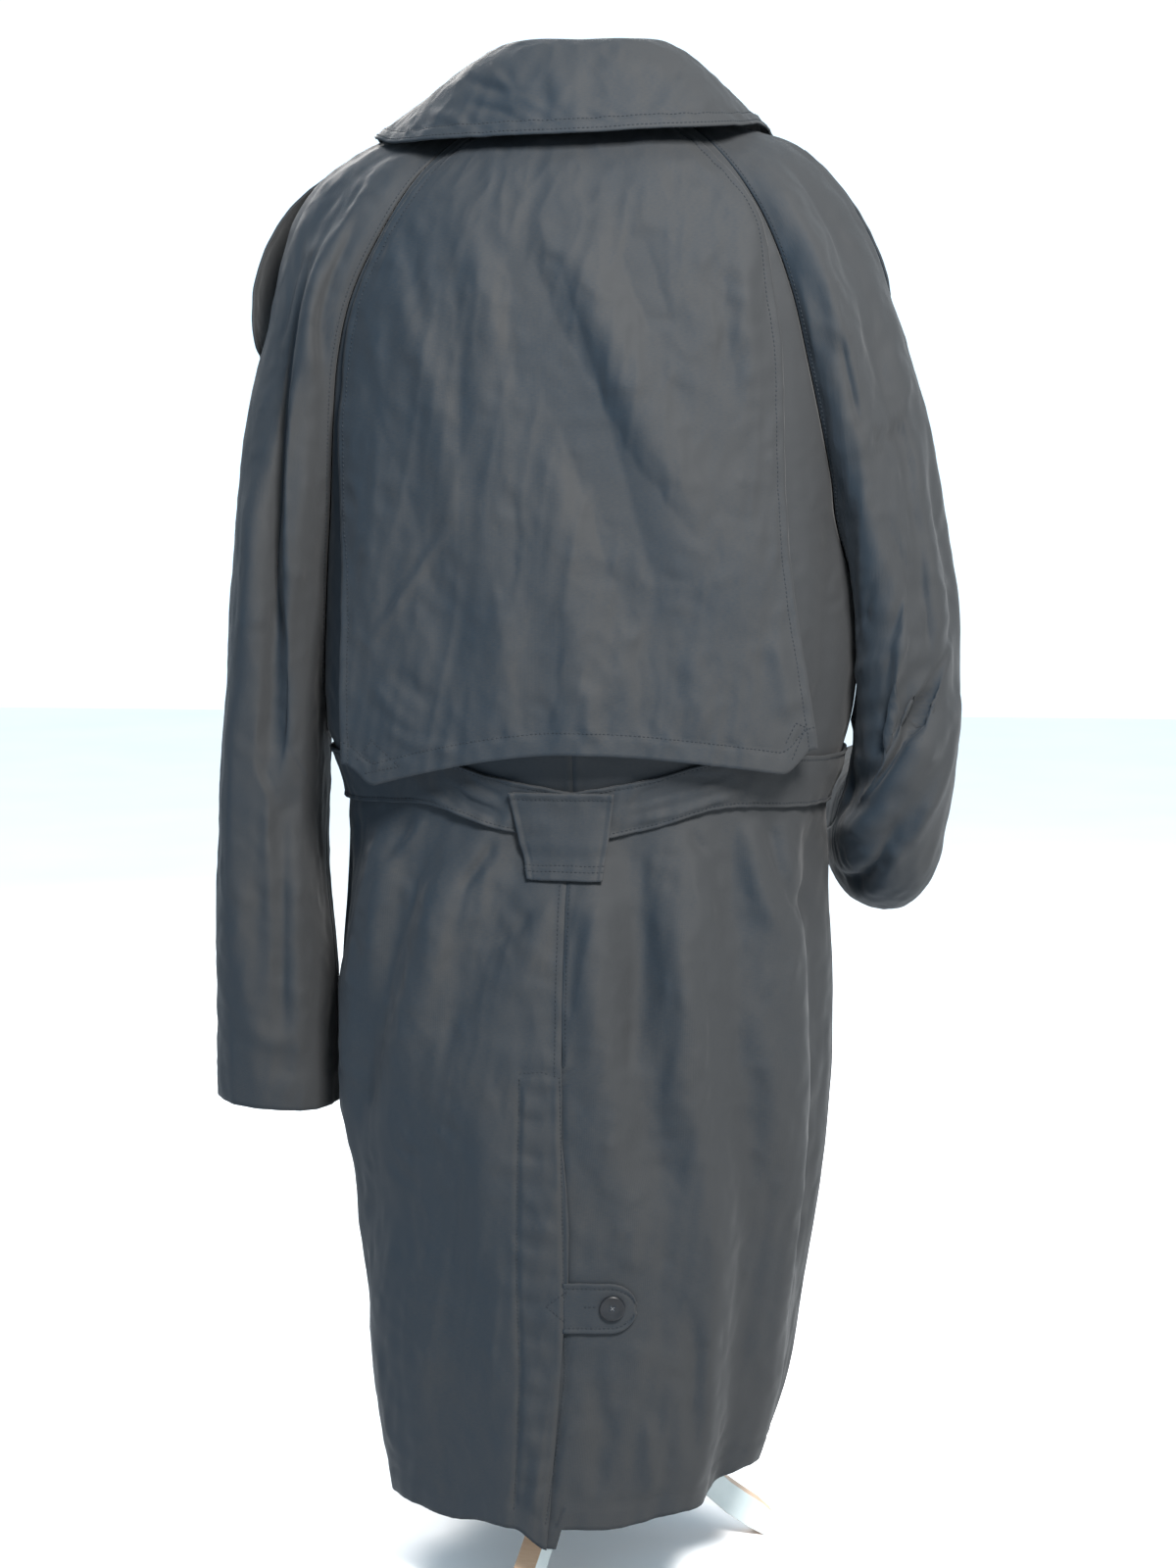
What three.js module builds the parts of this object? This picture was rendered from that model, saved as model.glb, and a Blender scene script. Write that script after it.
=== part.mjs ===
// A belted raglan trench coat on a limbless dress form with a three-legged stand.
// Millimetres, +Z up. The origin is on the floor under the middle of the whole box.
// The coat faces -Y, so its back faces +Y, and the wearer's left side is +X.
import * as THREE from "three";

// Driving dimensions
const CLOTH = 1.6; // wall of the main cloth
const DOUBLE_CLOTH = 2.2; // wall of turned and topstitched pieces
const SEAM_INSET = 0.2; // each piece stops this far short of its seam line
const FLOOR_LEVEL = 268; // the floor, on the scale of all levels below
const NECK_LEVEL = 1435; // neck seam at the centre back
const ARMPIT_LEVEL = 967; // where the raglan, side and underarm seams meet
const HEM_LEVEL = 348; // hem at the centre back
const BREAK_LEVEL = 1190; // lowest point of the lapel fold
const WRAP_HALF = 88; // each front passes the centre front by this much
const BELT_WIDTH = 40;
const VENT_LAP = 40; // width of the lap that the back vent hides
const COLLAR_TOP = 1495; // fold of the collar at the centre back

const COLOURS = {
  cloth: 0x46484c,
  horn: 0x23211f,
  form: 0xe8e4da,
  paint: 0xdfe8e8,
};
const MATERIALS = {
  cloth: new THREE.MeshStandardMaterial({ color: COLOURS.cloth, roughness: 0.78, metalness: 0 }),
  horn: new THREE.MeshStandardMaterial({ color: COLOURS.horn, roughness: 0.35, metalness: 0 }),
  form: new THREE.MeshStandardMaterial({ color: COLOURS.form, roughness: 0.9, metalness: 0 }),
  paint: new THREE.MeshStandardMaterial({ color: COLOURS.paint, roughness: 0.45, metalness: 0 }),
};

// Sections of the body, top to bottom. On the wearer's left the ring at each level passes the
// raglan seam at (left, seamBack) and (left, -seamFront), on the right at -right. Its depths at
// the centre are back and front. Below the armpit the seam is the side seam. Lean moves the
// ring towards the wearer's left.
const BODY = [
  { z: 1435, left: 80, right: 80, seamBack: 32, back: 62, seamFront: 46, front: 76, lean: 0 },
  { z: 1418, left: 102, right: 100, seamBack: 54, back: 82, seamFront: 62, front: 88, lean: 0 },
  { z: 1392, left: 126, right: 122, seamBack: 74, back: 103, seamFront: 76, front: 104, lean: 0 },
  { z: 1355, left: 149, right: 144, seamBack: 86, back: 121, seamFront: 86, front: 120, lean: 0 },
  { z: 1305, left: 174, right: 163, seamBack: 88, back: 131, seamFront: 90, front: 134, lean: 0 },
  { z: 1255, left: 187, right: 175, seamBack: 83, back: 137, seamFront: 86, front: 142, lean: 0 },
  { z: 1200, left: 193, right: 187, seamBack: 74, back: 141, seamFront: 78, front: 146, lean: 0 },
  { z: 1140, left: 198, right: 199, seamBack: 60, back: 144, seamFront: 64, front: 148, lean: 0 },
  { z: 1080, left: 204, right: 212, seamBack: 45, back: 146, seamFront: 49, front: 149, lean: 0 },
  { z: 1020, left: 209, right: 217, seamBack: 29, back: 145, seamFront: 31, front: 148, lean: 0 },
  { z: 990, left: 211, right: 215, seamBack: 17, back: 143, seamFront: 18, front: 146, lean: 0 },
  { z: 967, left: 211, right: 211, seamBack: 0, back: 141, seamFront: 0, front: 144, lean: 0 },
  { z: 935, left: 200, right: 202, seamBack: 0, back: 133, seamFront: 0, front: 136, lean: 0 },
  { z: 905, left: 192, right: 194, seamBack: 0, back: 127, seamFront: 0, front: 130, lean: 1 },
  { z: 880, left: 192, right: 194, seamBack: 0, back: 131, seamFront: 0, front: 134, lean: 3 },
  { z: 830, left: 193, right: 195, seamBack: 0, back: 150, seamFront: 0, front: 152, lean: 5 },
  { z: 750, left: 197, right: 200, seamBack: 0, back: 163, seamFront: 0, front: 164, lean: 6 },
  { z: 670, left: 195, right: 199, seamBack: 0, back: 167, seamFront: 0, front: 168, lean: 6 },
  { z: 587, left: 184, right: 186, seamBack: 0, back: 168, seamFront: 0, front: 169, lean: 0 },
  { z: 500, left: 177, right: 177, seamBack: 0, back: 167, seamFront: 0, front: 168, lean: 4 },
  { z: 418, left: 168, right: 168, seamBack: 0, back: 165, seamFront: 0, front: 166, lean: 8 },
  { z: 328, left: 145, right: 143, seamBack: 0, back: 162, seamFront: 0, front: 162, lean: 14 },
];
const BODY_SQUARENESS = 2.25;

// Folds of the body. Each is a soft ridge, or a trough where depth is negative, that runs from
// (topAt, top) to (bottomAt, bottom). The places are degrees from the centre back towards the
// wearer's left, width and depth are millimetres, and fade is the length of each soft end.
const BODY_FOLDS = [
  { topAt: -9, top: 905, bottomAt: -12, bottom: 610, width: 19, depth: 5, fade: 60 },
  { topAt: -20, top: 890, bottomAt: -26, bottom: 600, width: 21, depth: -8, fade: 60 },
  { topAt: -35, top: 905, bottomAt: -38, bottom: 330, width: 22, depth: 8, fade: 60 },
  { topAt: -47, top: 885, bottomAt: -53, bottom: 330, width: 20, depth: -9, fade: 70 },
  { topAt: -62, top: 900, bottomAt: -67, bottom: 330, width: 22, depth: 8, fade: 70 },
  { topAt: -77, top: 900, bottomAt: -76, bottom: 520, width: 19, depth: -9, fade: 60 },
  { topAt: -91, top: 890, bottomAt: -92, bottom: 330, width: 22, depth: 6, fade: 60 },
  { topAt: 14, top: 900, bottomAt: 32, bottom: 720, width: 20, depth: -7, fade: 50 },
  { topAt: 27, top: 905, bottomAt: 46, bottom: 700, width: 20, depth: 6, fade: 50 },
  { topAt: 42, top: 895, bottomAt: 62, bottom: 640, width: 20, depth: -8, fade: 60 },
  { topAt: 58, top: 905, bottomAt: 74, bottom: 520, width: 22, depth: 7, fade: 70 },
  { topAt: 34, top: 640, bottomAt: 30, bottom: 330, width: 24, depth: -6, fade: 90 },
  { topAt: 62, top: 560, bottomAt: 56, bottom: 330, width: 24, depth: 6, fade: 90 },
  { topAt: 106, top: 900, bottomAt: 104, bottom: 330, width: 24, depth: 8, fade: 70 },
  { topAt: 122, top: 890, bottomAt: 120, bottom: 330, width: 22, depth: -8, fade: 70 },
  { topAt: 138, top: 905, bottomAt: 137, bottom: 330, width: 24, depth: 7, fade: 70 },
  { topAt: -106, top: 895, bottomAt: -104, bottom: 330, width: 22, depth: -7, fade: 70 },
  { topAt: -121, top: 900, bottomAt: -119, bottom: 330, width: 24, depth: 7, fade: 70 },
  { topAt: -138, top: 890, bottomAt: -134, bottom: 400, width: 22, depth: -6, fade: 70 },
  { topAt: -72, top: 1150, bottomAt: -66, bottom: 930, width: 20, depth: -6, fade: 60 },
  { topAt: 126, top: 1180, bottomAt: 122, bottom: 930, width: 24, depth: -5, fade: 80 },
  { topAt: -132, top: 1160, bottomAt: -140, bottom: 930, width: 24, depth: -5, fade: 80 },
];

// Sections of each sleeve from its neck edge to its cuff. Over is the outer line and under is
// the inner line, as distances from the middle of the coat. Depth is half the section's depth
// from front to back about midY. Bend turns the section towards a forearm that points forward,
// and twist moves the overarm seam towards the back, both in degrees.
const LEFT_SLEEVE = [
  { s: 0, overX: 92, overZ: 1440, underX: 211, underZ: 967, midY: -6, depth: 58, bend: 0, twist: 0 },
  { s: 0.1, overX: 170, overZ: 1421, underX: 213, underZ: 962, midY: -5, depth: 74, bend: 0, twist: 0 },
  { s: 0.2, overX: 227, overZ: 1374, underX: 214, underZ: 955, midY: -4, depth: 82, bend: 0, twist: 3 },
  { s: 0.3, overX: 252, overZ: 1290, underX: 215, underZ: 944, midY: -4, depth: 85, bend: 0, twist: 12 },
  { s: 0.4, overX: 273, overZ: 1205, underX: 215, underZ: 928, midY: -3, depth: 85, bend: 0, twist: 20 },
  { s: 0.5, overX: 283, overZ: 1118, underX: 215, underZ: 905, midY: -2, depth: 83, bend: 0, twist: 16 },
  { s: 0.6, overX: 290, overZ: 1032, underX: 216, underZ: 872, midY: 0, depth: 80, bend: 0, twist: 8 },
  { s: 0.7, overX: 297, overZ: 946, underX: 217, underZ: 828, midY: 2, depth: 76, bend: 0, twist: 0 },
  { s: 0.8, overX: 302, overZ: 858, underX: 217, underZ: 775, midY: 3, depth: 71, bend: 0, twist: 0 },
  { s: 0.9, overX: 306, overZ: 762, underX: 216, underZ: 712, midY: 3, depth: 65, bend: 0, twist: 0 },
  { s: 1, overX: 306, overZ: 656, underX: 214, underZ: 648, midY: 2, depth: 60, bend: 0, twist: 0 },
];
const RIGHT_SLEEVE = [
  { s: 0, overX: 92, overZ: 1440, underX: 211, underZ: 967, midY: -6, depth: 58, bend: 0, twist: 0 },
  { s: 0.1, overX: 168, overZ: 1416, underX: 212, underZ: 963, midY: -5, depth: 74, bend: 0, twist: 0 },
  { s: 0.2, overX: 218, overZ: 1354, underX: 213, underZ: 957, midY: -3, depth: 82, bend: 0, twist: 0 },
  { s: 0.3, overX: 246, overZ: 1280, underX: 213, underZ: 950, midY: -2, depth: 85, bend: 0, twist: 0 },
  { s: 0.4, overX: 271, overZ: 1203, underX: 213, underZ: 942, midY: 0, depth: 86, bend: 0, twist: 0 },
  { s: 0.5, overX: 286, overZ: 1122, underX: 211, underZ: 932, midY: 2, depth: 84, bend: 0, twist: 0 },
  { s: 0.6, overX: 298, overZ: 1036, underX: 209, underZ: 920, midY: 4, depth: 80, bend: 3, twist: 0 },
  { s: 0.7, overX: 297, overZ: 948, underX: 203, underZ: 900, midY: 1, depth: 75, bend: 18, twist: 0 },
  { s: 0.8, overX: 287, overZ: 876, underX: 198, underZ: 880, midY: -24, depth: 68, bend: 50, twist: 0 },
  { s: 0.9, overX: 278, overZ: 864, underX: 190, underZ: 868, midY: -86, depth: 62, bend: 78, twist: 0 },
  { s: 1, overX: 270, overZ: 868, underX: 184, underZ: 872, midY: -158, depth: 57, bend: 88, twist: 0 },
];
const SLEEVE_SQUARENESS = 2.3;

// Folds of the sleeves, from (aroundFrom, from) to (aroundTo, to): around is degrees from the
// overarm seam towards the back, and from and to are shares of the way to the cuff.
const LEFT_SLEEVE_FOLDS = [
  { from: 0.12, aroundFrom: 62, to: 0.62, aroundTo: 92, width: 15, depth: -14, fade: 0.1 },
  { from: 0.3, aroundFrom: 48, to: 0.95, aroundTo: 56, width: 17, depth: 6, fade: 0.12 },
  { from: 0.52, aroundFrom: 120, to: 0.95, aroundTo: 108, width: 14, depth: -7, fade: 0.1 },
  { from: 0.25, aroundFrom: -70, to: 0.8, aroundTo: -84, width: 18, depth: -9, fade: 0.12 },
  { from: 0.5, aroundFrom: -120, to: 0.85, aroundTo: -112, width: 15, depth: 6, fade: 0.1 },
];
const RIGHT_SLEEVE_FOLDS = [
  { from: 0.2, aroundFrom: 52, to: 0.58, aroundTo: 62, width: 14, depth: -11, fade: 0.06 },
  { from: 0.38, aroundFrom: 30, to: 0.62, aroundTo: 26, width: 14, depth: -11, fade: 0.06 },
  { from: 0.46, aroundFrom: 84, to: 0.62, aroundTo: 112, width: 12, depth: 9, fade: 0.05 },
  { from: 0.58, aroundFrom: 40, to: 0.66, aroundTo: 128, width: 15, depth: -13, fade: 0.05 },
  { from: 0.66, aroundFrom: 22, to: 0.76, aroundTo: 100, width: 18, depth: 8, fade: 0.06 },
  { from: 0.72, aroundFrom: 96, to: 0.84, aroundTo: 140, width: 13, depth: -11, fade: 0.05 },
  { from: 0.3, aroundFrom: -60, to: 0.6, aroundTo: -72, width: 16, depth: -9, fade: 0.1 },
  { from: 0.6, aroundFrom: -40, to: 0.68, aroundTo: -110, width: 14, depth: -10, fade: 0.05 },
  { from: 0.74, aroundFrom: -50, to: 0.78, aroundTo: -120, width: 12, depth: -8, fade: 0.05 },
];

// The storm flap that hangs over the back: how far it reaches to the wearer's left and right,
// its own depth at the centre and at both edges, where it hangs clear of the back panels.
const STORM_FLAP = [
  { z: 1431, left: 73, right: 73, back: 66, leftBack: 36, rightBack: 36 },
  { z: 1418, left: 94, right: 92, back: 85, leftBack: 60, rightBack: 60 },
  { z: 1392, left: 120, right: 116, back: 106, leftBack: 80, rightBack: 80 },
  { z: 1355, left: 145, right: 140, back: 124, leftBack: 92, rightBack: 92 },
  { z: 1305, left: 170, right: 150, back: 134, leftBack: 94, rightBack: 100 },
  { z: 1255, left: 181, right: 157, back: 140, leftBack: 96, rightBack: 104 },
  { z: 1155, left: 183, right: 160, back: 148, leftBack: 104, rightBack: 112 },
  { z: 1080, left: 183, right: 167, back: 153, leftBack: 110, rightBack: 116 },
  { z: 1000, left: 183, right: 180, back: 157, leftBack: 114, rightBack: 116 },
  { z: 910, left: 182, right: 194, back: 160, leftBack: 116, rightBack: 112 },
];
const FLAP_FOLDS = [
  { topAt: 46, top: 1400, bottomAt: 33, bottom: 1010, width: 21, depth: -6, fade: 90 },
  { topAt: 36, top: 1400, bottomAt: 20, bottom: 980, width: 22, depth: 5, fade: 90 },
  { topAt: 14, top: 1330, bottomAt: -30, bottom: 1010, width: 24, depth: -5, fade: 90 },
  { topAt: -4, top: 1330, bottomAt: -44, bottom: 1050, width: 22, depth: 5, fade: 90 },
  { topAt: 4, top: 1180, bottomAt: -4, bottom: 900, width: 24, depth: 5, fade: 80 },
  { topAt: -42, top: 1300, bottomAt: -46, bottom: 1120, width: 18, depth: -5, fade: 50 },
];
const FLAP_HEM = { centre: 957, left: 918, right: 934, corner: 24 };

// Helpers for tables and smooth shapes
const radians = (degrees) => (degrees * Math.PI) / 180;
const degrees = (angle) => (angle * 180) / Math.PI;
const mix = (a, b, t) => a + (b - a) * t;

function ramp(from, to, at) {
  const t = Math.min(1, Math.max(0, (at - from) / (to - from)));
  return t * t * (3 - 2 * t);
}

// The value of one column of a table at a place along another, on a smooth curve through its rows.
function column(rows, key, along, at) {
  const rising = rows[rows.length - 1][along] > rows[0][along];
  const list = rising ? rows : [...rows].reverse();
  const last = list.length - 1;
  if (at <= list[0][along]) return list[0][key];
  if (at >= list[last][along]) return list[last][key];
  let k = 0;
  while (at > list[k + 1][along]) k += 1;
  const secant = (i) => (list[i + 1][key] - list[i][key]) / (list[i + 1][along] - list[i][along]);
  const slope = (i) => {
    if (i === 0) return secant(0);
    if (i === last) return secant(last - 1);
    if (secant(i - 1) * secant(i) <= 0) return 0;
    return (list[i + 1][key] - list[i - 1][key]) / (list[i + 1][along] - list[i - 1][along]);
  };
  const span = list[k + 1][along] - list[k][along];
  const t = (at - list[k][along]) / span;
  const from = list[k][key] * (2 * t ** 3 - 3 * t * t + 1) + slope(k) * span * (t ** 3 - 2 * t * t + t);
  const to = list[k + 1][key] * (3 * t * t - 2 * t ** 3) + slope(k + 1) * span * (t ** 3 - t * t);
  return from + to;
}

// How far the folds of a table move the surface out at a place of the body.
function bodyFolds(folds, place, z, radius) {
  let out = 0;
  for (const fold of folds) {
    const run = (fold.top - z) / (fold.top - fold.bottom);
    const centre = mix(fold.topAt, fold.bottomAt, Math.min(1, Math.max(0, run)));
    const turn = ((place - centre + 540) % 360) - 180;
    const across = (radians(turn) * radius) / fold.width;
    if (Math.abs(across) > 3) continue;
    const above = ramp(fold.top + fold.fade * 0.3, fold.top - fold.fade * 0.7, z);
    const end = ramp(fold.bottom - fold.fade * 0.3, fold.bottom + fold.fade * 0.7, z);
    const below = fold.bottom <= 330 ? 1 : end;
    out += fold.depth * Math.exp(-across * across) * above * below;
  }
  return out;
}

// Radius of a rounded ring that passes (seamX, seamY), with the given depth on its own axis.
function ringRadius(sine, cosine, seamX, seamY, depth) {
  const power = BODY_SQUARENESS;
  const seamRadius = Math.hypot(seamX, seamY);
  const depthTerm = (seamY / seamRadius / depth) ** power;
  const sideTerm = (seamRadius ** -power - depthTerm) / (seamX / seamRadius) ** power;
  return (sideTerm * Math.abs(sine) ** power + (Math.abs(cosine) / depth) ** power) ** (-1 / power);
}

// A point of the body's surface, moved out by lift. Place is in degrees from the centre back.
function bodyPoint(place, z, lift = 0) {
  const sine = Math.sin(radians(place));
  const cosine = Math.cos(radians(place));
  const value = (key) => column(BODY, key, "z", z);
  const half = cosine >= 0 ? ["seamBack", "back"] : ["seamFront", "front"];
  const seamX = value(sine > 0 ? "left" : "right");
  const radius = ringRadius(sine, cosine, seamX, value(half[0]), value(half[1]));
  const out = radius + lift + bodyFolds(BODY_FOLDS, place, z, radius);
  return new THREE.Vector3(value("lean") + out * sine, out * cosine, z);
}

// Where the raglan or side seam runs at a level, in degrees from the centre back.
function seamPlace(side, isBack, z) {
  if (z <= ARMPIT_LEVEL) return 90;
  const seamX = column(BODY, side > 0 ? "left" : "right", "z", z);
  const across = degrees(Math.atan2(seamX, column(BODY, isBack ? "seamBack" : "seamFront", "z", z)));
  return isBack ? across : 180 - across;
}

// The y of the back panels' outside at a distance from the middle, and the place of that point.
function backAt(x, z) {
  let near = 0;
  let far = x > 0 ? 89 : -89;
  for (let i = 0; i < 24; i += 1) {
    const middle = (near + far) / 2;
    if (Math.abs(bodyPoint(middle, z).x) < Math.abs(x)) near = middle;
    else far = middle;
  }
  return { y: bodyPoint(near, z).y, place: near };
}

// The level that a body row takes at a place: the fronts dip at the neck and every hem is wavy.
function neckDip(place) {
  return 30 * ramp(118, 172, Math.abs(place));
}
function hemLevel(place) {
  const wave = 4 * Math.sin(radians(place * 5 + 40)) + 3 * Math.sin(radians(place * 9));
  const corner = place > -2 ? -16 * ramp(11, 1, place) : 0;
  const rise = 11 * ramp(-8, -45, place) + 8 * ramp(-42, -62, place);
  return HEM_LEVEL + wave * ramp(8, 30, Math.abs(place)) + corner + rise;
}

// Normal of a surface given as point(p, q), pointing to the side that facing tells.
function normalOf(surface, p, q, step) {
  const alongP = surface(p + step, q).sub(surface(p - step, q));
  const alongQ = surface(p, q + step).sub(surface(p, q - step));
  return alongP.cross(alongQ).normalize();
}

// A closed wall from a grid of outer points and the directions that point out of the cloth.
// Each edge named in inset is drawn back along the cloth, to leave the gap at a seam.
function wallGeometry(points, normals, thickness, inset = {}) {
  const rows = points.length;
  const cols = points[0].length;
  const outer = points.map((row) => row.map((point) => point.clone()));
  const draw = (row, col, towardRow, towardCol) => {
    const step = points[towardRow][towardCol].clone().sub(points[row][col]);
    outer[row][col].addScaledVector(step.normalize(), SEAM_INSET);
  };
  for (let row = 0; row < rows; row += 1) {
    if (inset.first) draw(row, 0, row, 1);
    if (inset.last) draw(row, cols - 1, row, cols - 2);
  }
  for (let col = 0; col < cols; col += 1) {
    if (inset.top) draw(0, col, 1, col);
    if (inset.bottom) draw(rows - 1, col, rows - 2, col);
  }
  const positions = [];
  for (const side of [0, -thickness]) {
    for (let row = 0; row < rows; row += 1) {
      for (let col = 0; col < cols; col += 1) {
        const point = outer[row][col].clone().addScaledVector(normals[row][col], side);
        positions.push(point.x, point.y, point.z);
      }
    }
  }
  const at = (side, row, col) => side * rows * cols + row * cols + col;
  const index = [];
  const quad = (a, b, c, d) => index.push(a, b, c, a, c, d);
  for (let row = 0; row < rows - 1; row += 1) {
    for (let col = 0; col < cols - 1; col += 1) {
      quad(at(0, row, col), at(0, row + 1, col), at(0, row + 1, col + 1), at(0, row, col + 1));
      quad(at(1, row, col), at(1, row, col + 1), at(1, row + 1, col + 1), at(1, row + 1, col));
    }
  }
  for (let row = 0; row < rows - 1; row += 1) {
    quad(at(0, row, 0), at(1, row, 0), at(1, row + 1, 0), at(0, row + 1, 0));
    quad(at(0, row, cols - 1), at(0, row + 1, cols - 1), at(1, row + 1, cols - 1), at(1, row, cols - 1));
  }
  for (let col = 0; col < cols - 1; col += 1) {
    quad(at(0, 0, col), at(0, 0, col + 1), at(1, 0, col + 1), at(1, 0, col));
    quad(at(0, rows - 1, col), at(1, rows - 1, col), at(1, rows - 1, col + 1), at(0, rows - 1, col + 1));
  }
  return closedGeometry(positions, index);
}

// A geometry from corners and faces, turned so that its faces point out.
function closedGeometry(positions, index) {
  const geometry = new THREE.BufferGeometry();
  geometry.setAttribute("position", new THREE.Float32BufferAttribute(positions, 3));
  let volume = 0;
  const corner = (i) => new THREE.Vector3().fromArray(positions, index[i] * 3);
  for (let i = 0; i < index.length; i += 3) {
    volume += corner(i).dot(corner(i + 1).cross(corner(i + 2)));
  }
  if (volume < 0) {
    for (let i = 0; i < index.length; i += 3) [index[i + 1], index[i + 2]] = [index[i + 2], index[i + 1]];
  }
  geometry.setIndex(index);
  geometry.computeVertexNormals();
  return geometry;
}

// A closed solid through rings of equally many points, with flat ends.
function ringGeometry(rings) {
  const count = rings[0].length;
  const middles = [rings[0], rings[rings.length - 1]].map((ring) =>
    ring.reduce((sum, point) => sum.add(point), new THREE.Vector3()).divideScalar(count),
  );
  const positions = [...rings.flat(), ...middles].flatMap((point) => [point.x, point.y, point.z]);
  const index = [];
  for (let ring = 0; ring < rings.length - 1; ring += 1) {
    for (let i = 0; i < count; i += 1) {
      const here = ring * count;
      const next = (i + 1) % count;
      index.push(here + i, here + next, here + count + next);
      index.push(here + i, here + count + next, here + count + i);
    }
  }
  const last = (rings.length - 1) * count;
  const centre = rings.length * count;
  for (let i = 0; i < count; i += 1) {
    const next = (i + 1) % count;
    index.push(centre, next, i);
    index.push(centre + 1, last + i, last + next);
  }
  return closedGeometry(positions, index);
}

// A turned solid about an axis, from a profile of distances along it and radii.
function turnedGeometry(profile, steps, foot = new THREE.Vector3(), axis = new THREE.Vector3(0, 0, 1)) {
  const up = new THREE.Vector3(0, 0, 1);
  const turn = new THREE.Quaternion().setFromUnitVectors(up, axis.clone().normalize());
  const circle = ({ along, radius }) =>
    Array.from({ length: steps }, (_, i) => {
      const angle = (2 * Math.PI * i) / steps;
      const point = new THREE.Vector3(radius * Math.cos(angle), radius * Math.sin(angle), along);
      return point.applyQuaternion(turn).add(foot);
    });
  return ringGeometry(profile.map(circle));
}

const coat = new THREE.Group();

function addMesh(name, geometry, material, parent = coat) {
  const mesh = new THREE.Mesh(geometry, material);
  mesh.name = name;
  parent.add(mesh);
  return mesh;
}

// A wall over a patch: surface(p, q) gives its outer points for p and q from 0 to 1.
// outward(p, q) may replace the surface's own normal.
function addPatch(name, options) {
  const { surface, rows, cols, inset, outward } = options;
  const { thickness = CLOTH, material = MATERIALS.cloth } = options;
  const points = [];
  const normals = [];
  const flip = facingSign(surface);
  for (const p of rows) {
    points.push(cols.map((q) => surface(p, q)));
    normals.push(
      cols.map((q) => (outward && outward(p, q)) || normalOf(surface, p, q, 1e-3).multiplyScalar(flip)),
    );
  }
  return addMesh(name, wallGeometry(points, normals, thickness, inset), material);
}

// Whether a patch's computed normal points away from the middle of the coat, or towards it.
function facingSign(surface) {
  const middle = surface(0.5, 0.5);
  const away = surface.away ? surface.away(middle) : new THREE.Vector3(middle.x, middle.y, 0);
  return normalOf(surface, 0.5, 0.5, 1e-3).dot(away) > 0 ? 1 : -1;
}

const evenly = (count) => Array.from({ length: count + 1 }, (_, i) => i / count);

// Rows of the body panels, shared by the sleeves down to the armpit
const SEAM_LEVELS = [1435, 1416, 1384, 1338, 1284, 1220, 1148, 1072, 1005, 967];
const SKIRT_LEVELS = [940, 915, 893, 868, 838, 795, 745, 718, 700, 640, 560, 480, 410, 345];
const LEVELS = [...SEAM_LEVELS, ...SKIRT_LEVELS];

// One body panel. side is 1 for the wearer's left and -1 for the right. edgePlace gives the
// place of the panel's centre edge at each level, and lift how far each point stands out.
function addBodyPanel(name, side, isBack, edgePlace, lift, cols) {
  const count = LEVELS.length - 1;
  const levelAt = (p) => {
    const k = Math.min(count - 1, Math.max(0, Math.floor(p * count)));
    return mix(LEVELS[k], LEVELS[k + 1], p * count - k);
  };
  const surface = (p, q) => {
    const z = levelAt(p);
    const lap = isBack ? edgePlace(z) * Math.max(0, 4 * q - 3) : 0;
    const seam = seamPlace(side, isBack, z);
    const place = side * (isBack ? seam * (1 - q) + lap : mix(seam, edgePlace(z), q));
    const dip = isBack ? 0 : neckDip(place) * ramp(1330, NECK_LEVEL, z);
    const drop = (hemLevel(place) - HEM_LEVEL) * ramp(600, HEM_LEVEL, z);
    return bodyPoint(place, z - dip + drop, lift(place, z));
  };
  const inset = { first: true, last: isBack, top: true };
  addPatch(name, { surface, rows: evenly(count), cols: evenly(cols), inset });
}

// The back panels meet at the centre seam, and below it the left one laps over the right.
const VENT_ROWS = { lifted: [745, 718], lapped: [718, 700] };
const ventDrift = (z) => 1.5 * ramp(560, HEM_LEVEL, z);
const ventLift = (place, z) => 3.6 * ramp(...VENT_ROWS.lifted, z) * ramp(26, 13, place);
const ventReach = (z) => -degrees(VENT_LAP / 165) * ramp(...VENT_ROWS.lapped, z);
addBodyPanel("back_left", 1, true, ventDrift, ventLift, 16);
addBodyPanel("back_right", -1, true, ventReach, () => 0, 16);

// The fronts wrap over each other, left over right, and open above the break of the lapels.
const aboveBreak = (z) => (Math.max(z, BREAK_LEVEL) - BREAK_LEVEL) / (NECK_LEVEL - BREAK_LEVEL);
const frontReach = (z) => mix(-WRAP_HALF, 58, aboveBreak(z) ** 0.9);
const wrapPlace = (z) => 180 - degrees(Math.atan2(frontReach(z), column(BODY, "front", "z", z)));
const wrapLift = (place) => 5.5 * ramp(118, 146, Math.abs(place));
addBodyPanel("front_left", 1, false, wrapPlace, wrapLift, 12);
addBodyPanel("front_right", -1, false, wrapPlace, () => 0, 12);

// Sleeves
const NECK_STEPS = 2;
const OVERARM_PLACE = 96; // place of the overarm seam on the neck edge

// The neck edge at a place, through both backs, both sleeves and both fronts.
function neckEdge(place) {
  const side = place < 0 ? -1 : 1;
  const away = Math.abs(place);
  const back = seamPlace(side, true, NECK_LEVEL);
  const front = seamPlace(side, false, NECK_LEVEL);
  const rise = away > back && away < front ? 5 * Math.sin((Math.PI * (away - back)) / (front - back)) : 0;
  const edge = bodyPoint(place, NECK_LEVEL - (away > front ? neckDip(place) : 0));
  return edge.setZ(edge.z + rise);
}

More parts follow.
